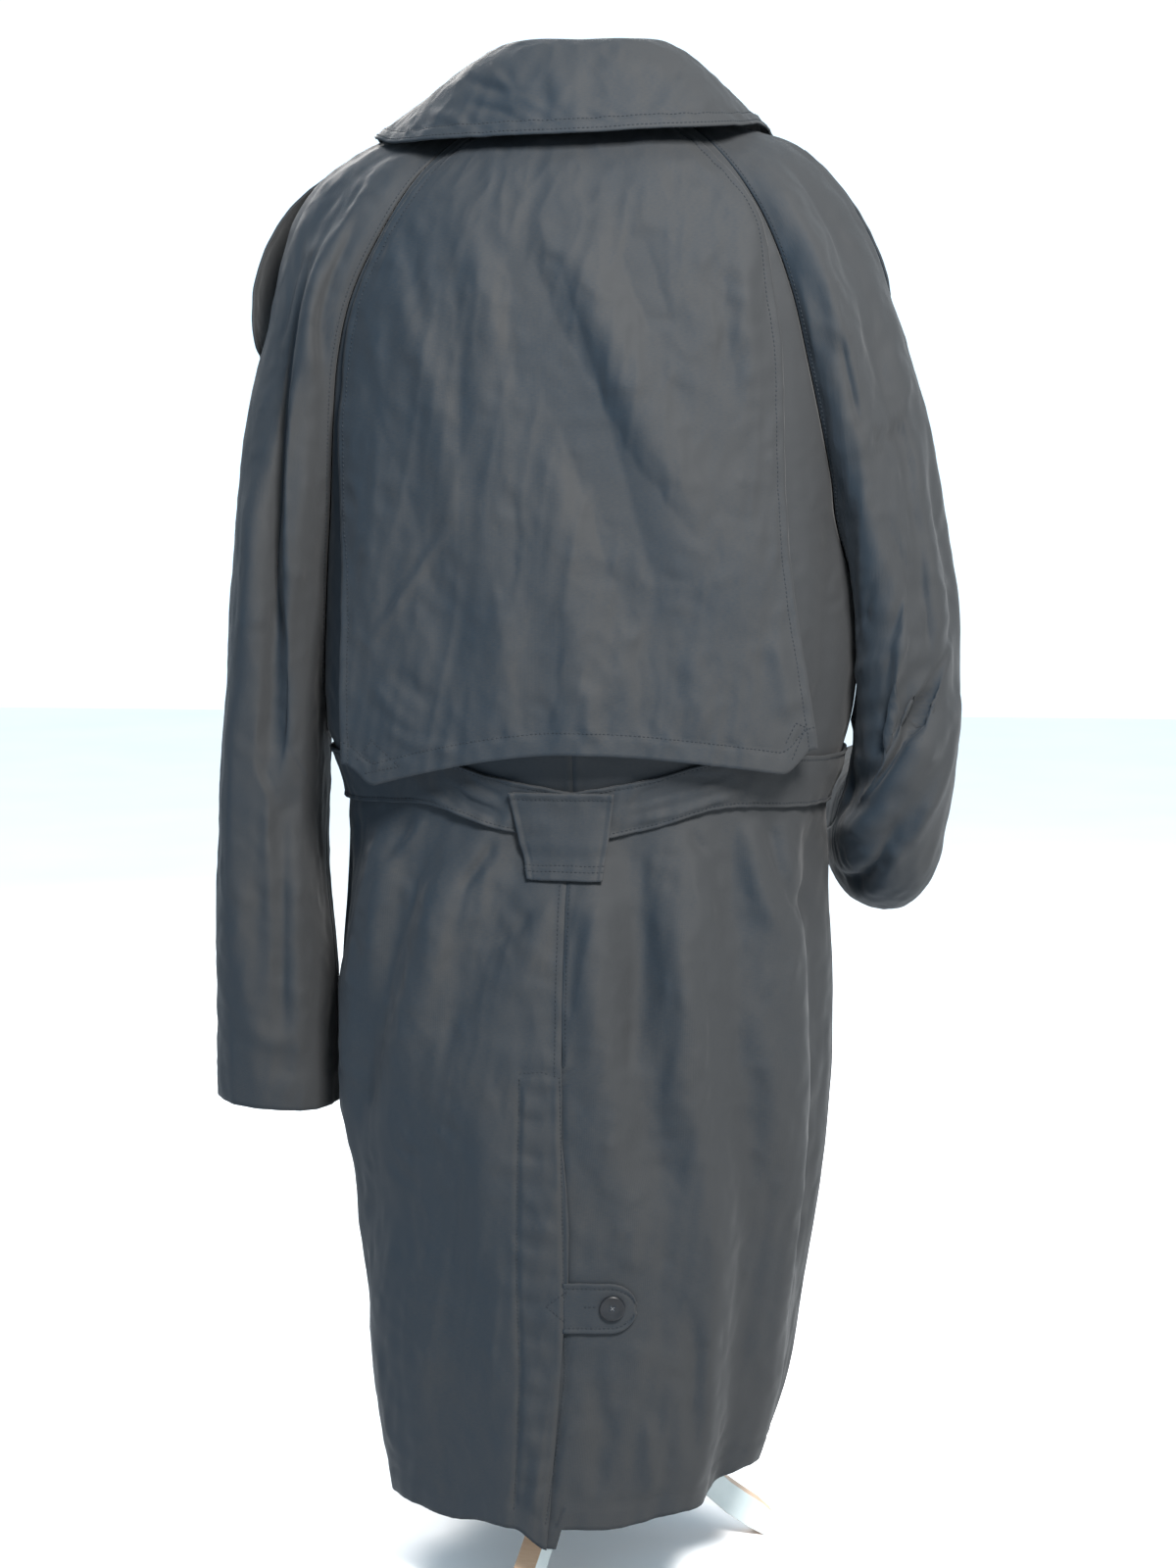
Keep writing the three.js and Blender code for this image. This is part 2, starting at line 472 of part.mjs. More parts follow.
// The line around a sleeve's top, from the overarm point to the armpit along one half: the
// neck edge, then the raglan seam with a point on each shared level.
function sleeveTopLine(side, isBack) {
  const line = [];
  for (let i = 0; i < NECK_STEPS; i += 1) {
    line.push(neckEdge(side * mix(OVERARM_PLACE, seamPlace(side, isBack, NECK_LEVEL), i / NECK_STEPS)));
  }
  for (const z of SEAM_LEVELS) line.push(bodyPoint(side * seamPlace(side, isBack, z), z));
  return line;
}

// A sleeve's own round section at a share s of the way to the cuff.
function sleeveSection(rows, side, around, s) {
  const value = (key) => column(rows, key, "s", s);
  const over = new THREE.Vector3(side * value("overX"), value("midY"), value("overZ"));
  const under = new THREE.Vector3(side * value("underX"), value("midY"), value("underZ"));
  const centre = over.clone().add(under).multiplyScalar(0.5);
  const across = over.clone().sub(under).multiplyScalar(0.5);
  const bend = radians(value("bend"));
  const deep = new THREE.Vector3(0, Math.cos(bend), -Math.sin(bend)).multiplyScalar(value("depth"));
  const turn = radians(around + value("twist"));
  const cosine = Math.cos(turn);
  const sine = Math.sin(turn);
  const power = SLEEVE_SQUARENESS;
  const reach = (Math.abs(cosine) ** power + Math.abs(sine) ** power) ** (-1 / power);
  const point = centre.clone().addScaledVector(across, cosine * reach);
  return { point: point.addScaledVector(deep, sine * reach), centre };
}

function sleeveFolds(folds, around, s, girth) {
  let out = 0;
  for (const fold of folds) {
    const run = Math.min(1, Math.max(0, (s - fold.from) / (fold.to - fold.from)));
    const turn = ((around - mix(fold.aroundFrom, fold.aroundTo, run) + 540) % 360) - 180;
    const along = s < fold.from ? (fold.from - s) * 860 : s > fold.to ? (s - fold.to) * 860 : 0;
    const away = Math.hypot(radians(turn) * girth, along) / fold.width;
    if (away > 3) continue;
    const ends = 0.35 + 0.65 * ramp(0, fold.fade, Math.min(s - fold.from, fold.to - s));
    out += fold.depth * Math.exp(-away * away) * ends;
  }
  return out;
}

// A place of a sleeve: t is the share around from the overarm point to the armpit, on the back
// half where isBack, and s the share from the top line to the cuff.
function sleevePoint({ rows, folds, side }, isBack, t, s) {
  const line = sleeveTopLine(side, isBack);
  const count = line.length - 1;
  const k = Math.min(count - 1, Math.max(0, Math.floor(t * count)));
  const top = line[k].clone().lerp(line[k + 1], t * count - k);
  const around = 180 * Math.max(0, t) ** 0.86 * (isBack ? 1 : -1);
  const { point, centre } = sleeveSection(rows, side, around, s);
  const start = sleeveSection(rows, side, around, 0).point;
  point.addScaledVector(top.sub(start), 1 - ramp(0, 0.42, s));
  const outward = point.clone().sub(centre).normalize();
  const settled = ramp(0.02, 0.12, s);
  return point.addScaledVector(outward, sleeveFolds(folds, around, s, 78) * settled);
}

const SLEEVES = {
  left: { rows: LEFT_SLEEVE, folds: LEFT_SLEEVE_FOLDS, side: 1 },
  right: { rows: RIGHT_SLEEVE, folds: RIGHT_SLEEVE_FOLDS, side: -1 },
};
const SLEEVE_SHARES = [
  0, 0.03, 0.075, 0.13, 0.19, 0.25, 0.32, 0.39, 0.45, 0.51, 0.57, 0.62, 0.66, 0.7, 0.74, 0.78, 0.83,
  0.89, 0.95, 1,
];

// Direction out of a sleeve. On the overarm and underarm seams both halves share it, and it is
// as much longer there as keeps the cloth's thickness.
function sleeveOutward(sleeve, isBack, t, s) {
  const step = 2e-3;
  const forward = t < 0.5 ? 1 : -1;
  const inner = t + forward * step;
  const here = (half, at) => sleevePoint(sleeve, half, at, s);
  const before = sleevePoint(sleeve, isBack, t, Math.max(0, s - step));
  const along = sleevePoint(sleeve, isBack, t, s + step).sub(before);
  const facing = (across, half) => {
    const sense = sleeve.side * (half ? 1 : -1);
    return along.clone().cross(across).normalize().multiplyScalar(sense);
  };
  const onSeam = t < step || t > 1 - step;
  if (!onSeam) return facing(here(isBack, t + step).sub(here(isBack, t - step)), isBack);
  const shared = facing(here(true, inner).sub(here(false, inner)).multiplyScalar(forward), true);
  const own = facing(here(isBack, inner).sub(here(isBack, t)).multiplyScalar(forward), isBack);
  return shared.divideScalar(Math.max(0.5, shared.dot(own)));
}

function addSleeveHalf(name, sleeve, isBack) {
  const surface = (p, q) => sleevePoint(sleeve, isBack, q, p);
  const outward = (p, q) => sleeveOutward(sleeve, isBack, q, p);
  const cols = evenly(NECK_STEPS + SEAM_LEVELS.length - 1);
  const sewn = { first: true, last: true, top: true };
  addPatch(name, { surface, rows: SLEEVE_SHARES, cols, inset: sewn, outward });
}
addSleeveHalf("sleeve_left_back", SLEEVES.left, true);
addSleeveHalf("sleeve_left_front", SLEEVES.left, false);
addSleeveHalf("sleeve_right_back", SLEEVES.right, true);
addSleeveHalf("sleeve_right_front", SLEEVES.right, false);

// Storm flap: it hangs from the neck and raglan seams over the back and is free below.
function flapPoint(p, q, lift = 0) {
  const top = STORM_FLAP[0].z;
  const across = 2 * q - 1;
  const side = across > 0 ? "left" : "right";
  const reach = Math.abs(across);
  const hem = mix(FLAP_HEM.centre, FLAP_HEM[side], reach ** 1.7);
  const corner = FLAP_HEM.corner * ramp(0.84, 1, reach) * ramp(0.8, 1, p);
  const z = mix(top, hem, p) + corner;
  const value = (key) => column(STORM_FLAP, key, "z", z);
  const x = across * value(side);
  const under = backAt(x, z);
  const own = mix(value("back"), value(side + "Back"), reach ** 2.2);
  const fold = bodyFolds(FLAP_FOLDS, degrees(Math.atan2(x, 130)), z, 140);
  const clear = 2.9 + Math.abs(x) / 120 + (3.6 + Math.abs(x) / 70) * ramp(1365, 1415, z);
  const y = Math.max(own + fold, under.y + clear);
  return new THREE.Vector3(x, y + lift, z);
}
addPatch("storm_flap", { surface: (p, q) => flapPoint(p, q), rows: evenly(14), cols: evenly(18) });

// Collar: the stand rises from the neck edge to the fold, and the fall turns down over it. Each
// row gives the fold and the fall's edge at a place of the neck.
const COLLAR_LEFT = [
  { at: 0, foldX: 0, foldY: 66, foldZ: COLLAR_TOP, edgeX: 0, edgeY: 112, edgeZ: 1422 },
  { at: 25, foldX: 32, foldY: 62, foldZ: 1496, edgeX: 55, edgeY: 106, edgeZ: 1421 },
  { at: 50, foldX: 62, foldY: 42, foldZ: 1493, edgeX: 110, edgeY: 86, edgeZ: 1420 },
  { at: 80, foldX: 83, foldY: 10, foldZ: 1480, edgeX: 150, edgeY: 45, edgeZ: 1421 },
  { at: 105, foldX: 86, foldY: -25, foldZ: 1466, edgeX: 170, edgeY: -4, edgeZ: 1428 },
  { at: 126, foldX: 80, foldY: -60, foldZ: 1449, edgeX: 162, edgeY: -58, edgeZ: 1413 },
  { at: 140, foldX: 66, foldY: -88, foldZ: 1430, edgeX: 132, edgeY: -112, edgeZ: 1378 },
];
const COLLAR_RIGHT = [
  { at: 0, foldX: 0, foldY: 66, foldZ: COLLAR_TOP, edgeX: 0, edgeY: 112, edgeZ: 1422 },
  { at: 25, foldX: 33, foldY: 62, foldZ: 1496, edgeX: 48, edgeY: 107, edgeZ: 1425 },
  { at: 50, foldX: 63, foldY: 42, foldZ: 1495, edgeX: 94, edgeY: 90, edgeZ: 1428 },
  { at: 80, foldX: 79, foldY: 10, foldZ: 1482, edgeX: 125, edgeY: 52, edgeZ: 1432 },
  { at: 105, foldX: 82, foldY: -25, foldZ: 1466, edgeX: 138, edgeY: 0, edgeZ: 1436 },
  { at: 126, foldX: 76, foldY: -60, foldZ: 1449, edgeX: 146, edgeY: -58, edgeZ: 1417 },
  { at: 140, foldX: 66, foldY: -88, foldZ: 1430, edgeX: 128, edgeY: -112, edgeZ: 1378 },
];
const COLLAR_END = 140;

function collarRow(place, part) {
  const rows = place > 0 ? COLLAR_LEFT : COLLAR_RIGHT;
  const value = (key) => column(rows, part + key, "at", Math.abs(place));
  return new THREE.Vector3(value("X") * (place > 0 ? 1 : -1), value("Y"), value("Z"));
}

// A place of the fall: p runs from the fold to the edge, and it bulges out between them.
function collarFall(p, place) {
  const fold = collarRow(place, "fold");
  const edge = collarRow(place, "edge");
  const flat = new THREE.Vector3(edge.x - fold.x, edge.y - fold.y, 0).normalize();
  const bulge = 11 * Math.sin(Math.PI * Math.max(0, p) ** 0.7);
  return fold.lerp(edge, p).addScaledVector(flat, bulge * 0.7).setZ(fold.z + bulge * 0.5);
}
function collarStand(p, place) {
  const foot = neckEdge(place);
  foot.setZ(foot.z + 0.8);
  const fold = collarRow(place, "fold");
  const out = new THREE.Vector3(fold.x, fold.y, 0).normalize();
  return foot.lerp(fold.setZ(fold.z - 4).addScaledVector(out, 0.3), p);
}
const collarCols = evenly(24);
const collarPlace = (q) => mix(-COLLAR_END, COLLAR_END, q);
const upward = (middle) => new THREE.Vector3(0, middle.y, 60);
const fallSurface = (p, q) => collarFall(p, collarPlace(q));
fallSurface.away = upward;
addPatch("collar_fall", {
  surface: fallSurface,
  rows: [0, 0.1, 0.28, 0.55, 0.8, 1],
  cols: collarCols,
  thickness: DOUBLE_CLOTH,
});
addPatch("collar_stand", {
  surface: (p, q) => collarStand(p, collarPlace(q)),
  rows: evenly(2),
  cols: collarCols,
});

// Lapels turn back along each front's edge. Each row gives the outer edge at a level.
const LAPEL_LEFT = [
  { z: 1196, edgeAt: 206, edgeZ: 1191, lift: 3 },
  { z: 1240, edgeAt: 182, edgeZ: 1222, lift: 4 },
  { z: 1295, edgeAt: 152, edgeZ: 1272, lift: 5 },
  { z: 1345, edgeAt: 132, edgeZ: 1318, lift: 6 },
  { z: 1388, edgeAt: 124, edgeZ: 1352, lift: 6 },
  { z: 1410, edgeAt: 132, edgeZ: 1382, lift: 5 },
];
const LAPEL_RIGHT = [
  { z: 1334, edgeAt: 164, edgeZ: 1322, lift: 3 },
  { z: 1352, edgeAt: 142, edgeZ: 1334, lift: 4 },
  { z: 1375, edgeAt: 130, edgeZ: 1348, lift: 5 },
  { z: 1394, edgeAt: 126, edgeZ: 1362, lift: 5 },
  { z: 1410, edgeAt: 132, edgeZ: 1382, lift: 4 },
];
function addLapel(name, side, rows) {
  const top = rows[rows.length - 1].z;
  const surface = (p, q) => {
    const z = mix(rows[0].z, top, p);
    const value = (key) => column(rows, key, "z", z);
    const place = mix(wrapPlace(z) - 1.5, value("edgeAt"), q);
    const level = mix(z, value("edgeZ"), q);
    const dip = neckDip(place) * ramp(1330, NECK_LEVEL, level);
    const front = side > 0 ? wrapLift(place) : 0;
    const roll = value("lift") * Math.sin(0.85 * Math.PI * Math.max(0, q));
    return bodyPoint(side * place, level - dip, front + 3.2 + roll);
  };
  addPatch(name, { surface, rows: evenly(rows.length + 2), cols: evenly(5), thickness: DOUBLE_CLOTH });
}
addLapel("lapel_left", 1, LAPEL_LEFT);
addLapel("lapel_right", -1, LAPEL_RIGHT);

// Belt: a band round the waist that rises towards the sides, with its loop on the centre back.
const BELT = [
  { at: 0, z: 904 },
  { at: 24, z: 915 },
  { at: 48, z: 931 },
  { at: 80, z: 925 },
  { at: 180, z: 925 },
];
const BELT_LIFT = 3.8; // outside of the belt from the coat's own surface
function beltPoint(place, p, lift = BELT_LIFT) {
  const z = column(BELT, "z", "at", Math.abs(((place + 180) % 360) - 180)) + BELT_WIDTH * (0.5 - p);
  const front = place > 90 ? wrapLift(place) : 0;
  return bodyPoint(place, z, lift + front + 1.2 * Math.sin(Math.PI * p));
}
addPatch("belt", {
  surface: (p, q) => beltPoint(mix(-140, 234, q), p),
  rows: evenly(2),
  cols: evenly(64),
});

const BELT_LOOP = { topZ: 924, topFrom: -27, topTo: 50, bottomZ: 858, bottomFrom: -20, bottomTo: 37 };
addPatch("belt_loop", {
  surface: (p, q) => {
    const z = mix(BELT_LOOP.topZ, BELT_LOOP.bottomZ, p);
    const from = mix(BELT_LOOP.topFrom, BELT_LOOP.bottomFrom, p);
    const to = mix(BELT_LOOP.topTo, BELT_LOOP.bottomTo, p);
    const place = backAt(mix(from, to, q) - 3, z).place;
    return bodyPoint(place, z, mix(4.4, BELT_LIFT + 4, ramp(872, 886, z)));
  },
  rows: evenly(6),
  cols: evenly(8),
});

// Vent tab: from under the lap's edge to a rounded end, closed over the vent by a button.
const VENT_TAB = { middle: 527, half: 20, from: -7, to: -51 };
addPatch("vent_tab", {
  surface: (p, q) => {
    const x = mix(VENT_TAB.from, VENT_TAB.to, q);
    const end = Math.max(0, (VENT_TAB.half - (x - VENT_TAB.to)) / VENT_TAB.half);
    const half = VENT_TAB.half * Math.sqrt(1 - 0.9 * Math.min(1, end) ** 2);
    const z = VENT_TAB.middle + half * (1 - 2 * p);
    return bodyPoint(backAt(x, z).place, z, 2.05);
  },
  rows: evenly(4),
  cols: [0, 0.25, 0.5, 0.66, 0.8, 0.9, 0.97, 1],
});

// Buttons with a raised rim
function addButton(name, radius, foot, axis) {
  const profile = [
    { along: 0, radius: radius * 0.94 },
    { along: 1.6, radius },
    { along: 3.2, radius: radius * 0.9 },
    { along: 2.4, radius: radius * 0.7 },
  ];
  addMesh(name, turnedGeometry(profile, 12, foot, axis), MATERIALS.horn);
}
function bodyButton(name, radius, place, z, lift) {
  const foot = bodyPoint(place, z, lift);
  const along = bodyPoint(place + 2, z).sub(bodyPoint(place - 2, z));
  const axis = along.cross(bodyPoint(place, z + 8).sub(bodyPoint(place, z - 8))).normalize();
  if (axis.dot(new THREE.Vector3(foot.x, foot.y, 0)) < 0) axis.negate();
  addButton(name, radius, foot, axis);
}
bodyButton("vent_button", 10, backAt(-33, 528).place, 528, 2.5);
const FRONT_BUTTON = { radius: 14, left: 155, right: 205 };
const FRONT_BUTTON_ROWS = [
  { z: 1150, leftLift: 5.9, rightLift: 5.9 },
  { z: 1040, leftLift: 5.8, rightLift: 5.6 },
  { z: 830, leftLift: 5.9, rightLift: 5.3 },
  { z: 700, leftLift: 5.9, rightLift: 5.9 },
];
FRONT_BUTTON_ROWS.forEach(({ z, leftLift, rightLift }, row) => {
  bodyButton(`front_button_left_${row + 1}`, FRONT_BUTTON.radius, FRONT_BUTTON.left, z, leftLift);
  bodyButton(`front_button_right_${row + 1}`, FRONT_BUTTON.radius, FRONT_BUTTON.right, z, rightLift);
});

// Shoulder tabs: straps on the front of each shoulder, held by a button near the neck.
const SHOULDER_TABS = {
  left: { sleeve: SLEEVES.left, from: 0.15, to: 0.345, around: -27, half: 17, seat: 2.1, stand: 13 },
  right: { sleeve: SLEEVES.right, from: 0.1, to: 0.27, around: -30, half: 17, seat: 2.8, stand: 2 },
};
function sleeveAt(sleeve, around, s) {
  return sleevePoint(sleeve, around >= 0, (Math.abs(around) / 180) ** (1 / 0.86), s);
}
function strapPoint({ sleeve, from, to, around, half, seat, stand }, p, q) {
  const taper = Math.sqrt(1 - 0.8 * Math.max(0, (p - 0.86) / 0.14) ** 2);
  const s = mix(from, to, p);
  const place = around + half * taper * (2 * q - 1);
  const out = sleeveOutward(sleeve, false, (Math.abs(around) / 180) ** (1 / 0.86), s);
  const lift = seat + stand * Math.sin(Math.PI * p);
  return sleeveAt(sleeve, place, s).addScaledVector(out, lift);
}
for (const [name, tab] of Object.entries(SHOULDER_TABS)) {
  const surface = (p, q) => strapPoint(tab, p, q);
  surface.away = (middle) => {
    const { centre } = sleeveSection(tab.sleeve.rows, tab.sleeve.side, 0, 0.3);
    return middle.clone().sub(centre);
  };
  addPatch(`shoulder_tab_${name}`, {
    surface,
    rows: [0, 0.2, 0.4, 0.6, 0.8, 0.9, 0.97, 1],
    cols: evenly(4),
    thickness: DOUBLE_CLOTH,
  });
  const foot = strapPoint(tab, 0.2, 0.5);
  const along = strapPoint(tab, 0.24, 0.5).sub(strapPoint(tab, 0.16, 0.5));
  const axis = along.cross(strapPoint(tab, 0.2, 0.7).sub(strapPoint(tab, 0.2, 0.3))).normalize();
  if (axis.dot(new THREE.Vector3(tab.sleeve.side, 0, 1)) < 0) axis.negate();
  addButton(`shoulder_button_${name}`, 9, foot.addScaledVector(axis, 0.5), axis);
}

// Buckle in front of the belt: a plain frame with a bar.
function buckleGeometry() {
  const box = (x, y, w, h) => {
    const corners = [[x, y], [x + w, y], [x + w, y + h], [x, y + h]];
    return corners.map((at) => new THREE.Vector2(...at));
  };
  const frame = new THREE.Shape(box(-30, -28, 60, 56));
  frame.holes.push(new THREE.Path(box(-24, -22, 21, 44)), new THREE.Path(box(3, -20, 21, 40)));
  const geometry = new THREE.ExtrudeGeometry(frame, { depth: 4, bevelEnabled: false });
  return geometry.rotateX(Math.PI / 2);
}
const buckle = addMesh("belt_buckle", buckleGeometry(), MATERIALS.horn);
const buckleFoot = beltPoint(180, 0.5);
buckle.position.set(buckleFoot.x, buckleFoot.y - 4.4, buckleFoot.z);

// Dress form: rounded sections from the neck down to the hips, each with its own squareness.
const FORM = [
  { z: 1478, half: 50, back: 50, front: 50, power: 2 },
  { z: 1455, half: 51, back: 50, front: 50, power: 2 },
  { z: 1440, half: 60, back: 53, front: 50, power: 2 },
  { z: 1434, half: 86, back: 55, front: 51, power: 1.7 },
  { z: 1428, half: 116, back: 60, front: 55, power: 1.5 },
  { z: 1422.2, half: 150, back: 66, front: 60, power: 1.5 },
  { z: 1408, half: 168, back: 76, front: 72, power: 1.6 },
  { z: 1385, half: 176, back: 88, front: 86, power: 1.7 },
  { z: 1350, half: 176, back: 100, front: 98, power: 1.9 },
  { z: 1290, half: 166, back: 108, front: 114, power: 2.1 },
  { z: 1200, half: 150, back: 110, front: 122, power: 2.2 },
  { z: 1110, half: 138, back: 104, front: 112, power: 2.2 },
  { z: 1020, half: 124, back: 94, front: 98, power: 2.2 },
  { z: 950, half: 120, back: 90, front: 92, power: 2.2 },
  { z: 870, half: 140, back: 102, front: 104, power: 2.2 },
  { z: 790, half: 150, back: 110, front: 108, power: 2.2 },
  { z: 735, half: 148, back: 108, front: 104, power: 2.2 },
];
function formRing({ z, half, back, front, power }) {
  const steps = 28;
  return Array.from({ length: steps }, (_, i) => {
    const angle = (2 * Math.PI * i) / steps;
    const sine = Math.sin(angle);
    const cosine = Math.cos(angle);
    const depth = cosine > 0 ? back : front;
    const radius = (Math.abs(sine / half) ** power + Math.abs(cosine / depth) ** power) ** (-1 / power);
    return new THREE.Vector3(radius * sine, radius * cosine, z);
  });
}
addMesh("form_torso", ringGeometry(FORM.map(formRing)), MATERIALS.form);
const CAP = [
  { along: 0, radius: 51 },
  { along: 4, radius: 51 },
  { along: 6, radius: 48 },
];
addMesh("form_neck_cap", turnedGeometry(CAP, 24, new THREE.Vector3(0, 0, 1478.3)), MATERIALS.paint);

// Stand: a pole on a hub, and three board legs that bow down to the floor. Each corner of a
// leg's outline is a distance from the pole and a level.
const BOARD = 18;
const HUB = { radius: 26, bottom: 314, top: 392 };
const LEG_DIRECTIONS = [16, 136, -105]; // degrees from the back towards the wearer's left
const POLE = [
  { along: HUB.top + 0.3, radius: 13 },
  { along: 734.7, radius: 13 },
];
addMesh("stand_pole", turnedGeometry(POLE, 20), MATERIALS.paint);
const HUB_PROFILE = [
  { along: HUB.bottom, radius: HUB.radius - 3 },
  { along: HUB.bottom + 3, radius: HUB.radius },
  { along: HUB.top - 3, radius: HUB.radius },
  { along: HUB.top, radius: HUB.radius - 3 },
];
addMesh("stand_hub", turnedGeometry(HUB_PROFILE, 24), MATERIALS.paint);
const LEG_OUTLINE = [
  [HUB.radius + 0.4, 376],
  [58, 368],
  [84, 352],
  [104, 334],
  [121, 317],
  [134, 307],
  [149, 296],
  [158, 287],
  [163, 277],
  [166, FLOOR_LEVEL],
  [150, FLOOR_LEVEL],
  [135, 277],
  [117, 290],
  [95, 311],
  [64, 330],
  [HUB.radius + 0.4, 338],
];
LEG_DIRECTIONS.forEach((direction, i) => {
  const outline = new THREE.Shape(LEG_OUTLINE.map(([reach, z]) => new THREE.Vector2(reach, z)));
  const board = new THREE.ExtrudeGeometry(outline, { depth: BOARD, bevelEnabled: false });
  board.translate(0, 0, -BOARD / 2).rotateX(Math.PI / 2);
  board.rotateZ(radians(90 - direction));
  addMesh(`stand_leg_${i + 1}`, board, MATERIALS.paint);
});

// The levels above count from a line below the floor, and the box is centred on its middle.
coat.updateMatrixWorld(true);
const box = new THREE.Box3().setFromObject(coat);
coat.position.set(-(box.min.x + box.max.x) / 2, -(box.min.y + box.max.y) / 2, -FLOOR_LEVEL);

export default coat;
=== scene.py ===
# A belted raglan trench coat on a limbless dress form with a three-legged stand.
# Blender draws in metres in the model's frame. The tables and the shapes below are in
# millimetres on the coat's own scale, whose floor is at FLOOR_LEVEL, and metres() turns them.
import math

import bmesh
import bpy
import numpy as np
from mathutils import Matrix, Vector, noise


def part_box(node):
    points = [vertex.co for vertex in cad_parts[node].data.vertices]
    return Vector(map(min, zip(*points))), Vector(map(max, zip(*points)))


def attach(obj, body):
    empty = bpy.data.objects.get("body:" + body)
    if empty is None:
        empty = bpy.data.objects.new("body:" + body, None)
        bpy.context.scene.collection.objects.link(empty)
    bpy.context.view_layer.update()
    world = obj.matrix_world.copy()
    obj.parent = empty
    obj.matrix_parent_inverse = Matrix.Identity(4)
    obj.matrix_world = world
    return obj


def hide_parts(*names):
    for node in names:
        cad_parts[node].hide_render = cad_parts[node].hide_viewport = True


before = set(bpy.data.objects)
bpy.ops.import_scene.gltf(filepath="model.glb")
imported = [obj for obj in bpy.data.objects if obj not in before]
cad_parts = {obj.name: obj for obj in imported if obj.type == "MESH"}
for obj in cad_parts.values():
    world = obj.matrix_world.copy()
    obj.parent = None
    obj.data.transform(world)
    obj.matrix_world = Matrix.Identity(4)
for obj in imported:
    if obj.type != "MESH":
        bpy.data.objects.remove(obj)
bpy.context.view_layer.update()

# Driving dimensions
SHELL = 1.1  # thickness of one layer of cloth
DOUBLE_SHELL = 2.0  # thickness of turned and topstitched pieces
FLOOR_LEVEL = 268
NECK_LEVEL = 1435
ARMPIT_LEVEL = 967
HEM_LEVEL = 348
BREAK_LEVEL = 1190
WRAP_HALF = 88
BELT_WIDTH = 40
VENT_LAP = 40
COLLAR_TOP = 1495
hub_low, hub_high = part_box("stand_hub")
SHIFT = np.array([(hub_low.x + hub_high.x) * 500, (hub_low.y + hub_high.y) * 500, -FLOOR_LEVEL])


# The view from behind: the camera's place and turn, and the picture's size in its own units
CAMERA = {"x": -209.2, "y": 2390.9, "z": 1250.0, "azimuth": 185.0, "pitch": 8.0, "focus": 3050.0}
PICTURE = {"width": 1200, "height": 1600}


def table(names, *rows):
    """The columns of a table, by name."""
    return {name: np.array([row[i] for row in rows], float) for i, name in enumerate(names.split())}


# Sections of the body, top to bottom. On the wearer's left the ring at each level passes the
# raglan seam at (left, seam_back) and (left, -seam_front), on the right at -right. Its depths at
# the centre are back and front. Below the armpit the seam is the side seam.
BODY = table(
    "z left right seam_back back seam_front front lean",
    (1435, 80, 80, 32, 62, 46, 76, 0),
    (1418, 102, 100, 54, 82, 62, 88, 0),
    (1392, 126, 122, 74, 103, 76, 104, 0),
    (1355, 149, 144, 86, 121, 86, 120, 0),
    (1305, 174, 163, 88, 131, 90, 134, 0),
    (1255, 187, 175, 83, 137, 86, 142, 0),
    (1200, 193, 187, 74, 141, 78, 146, 0),
    (1140, 198, 199, 60, 144, 64, 148, 0),
    (1080, 204, 212, 45, 146, 49, 149, 0),
    (1020, 209, 217, 29, 145, 31, 148, 0),
    (990, 211, 215, 17, 143, 18, 146, 0),
    (967, 211, 211, 0, 141, 0, 144, 0),
    (935, 200, 202, 0, 133, 0, 136, 0),
    (905, 192, 194, 0, 127, 0, 130, 1),
    (880, 192, 194, 0, 131, 0, 134, 3),
    (830, 193, 195, 0, 150, 0, 152, 5),
    (750, 197, 200, 0, 163, 0, 164, 6),
    (670, 195, 199, 0, 167, 0, 168, 6),
    (587, 184, 186, 0, 168, 0, 169, 0),
    (500, 177, 177, 0, 167, 0, 168, 4),
    (418, 168, 168, 0, 165, 0, 166, 8),
    (328, 145, 143, 0, 162, 0, 162, 14),
)
BODY_SQUARENESS = 2.25

# Long folds of the body: each runs from (top_at, top) to (bottom_at, bottom), in degrees from the
# centre back towards the wearer's left. A trough has a depth below nought.
BODY_FOLDS = table(
    "top_at top bottom_at bottom width depth fade",
    (-9, 905, -12, 610, 19, 5, 60),
    (-20, 890, -26, 600, 21, -8, 60),
    (-35, 905, -38, 330, 22, 8, 60),
    (-47, 885, -53, 330, 20, -9, 70),
    (-62, 900, -67, 330, 22, 8, 70),
    (-77, 900, -76, 520, 19, -9, 60),
    (-91, 890, -92, 330, 22, 6, 60),
    (14, 900, 32, 720, 20, -7, 50),
    (27, 905, 46, 700, 20, 6, 50),
    (42, 895, 62, 640, 20, -8, 60),
    (58, 905, 74, 520, 22, 7, 70),
    (34, 640, 30, 330, 24, -6, 90),
    (62, 560, 56, 330, 24, 6, 90),
    (106, 900, 104, 330, 24, 8, 70),
    (122, 890, 120, 330, 22, -8, 70),
    (138, 905, 137, 330, 24, 7, 70),
    (-106, 895, -104, 330, 22, -7, 70),
    (-121, 900, -119, 330, 24, 7, 70),
    (-138, 890, -134, 400, 22, -6, 70),
    (-72, 1150, -66, 930, 20, -6, 60),
    (126, 1180, 122, 930, 24, -5, 80),
    (-132, 1160, -140, 930, 24, -5, 80),
)

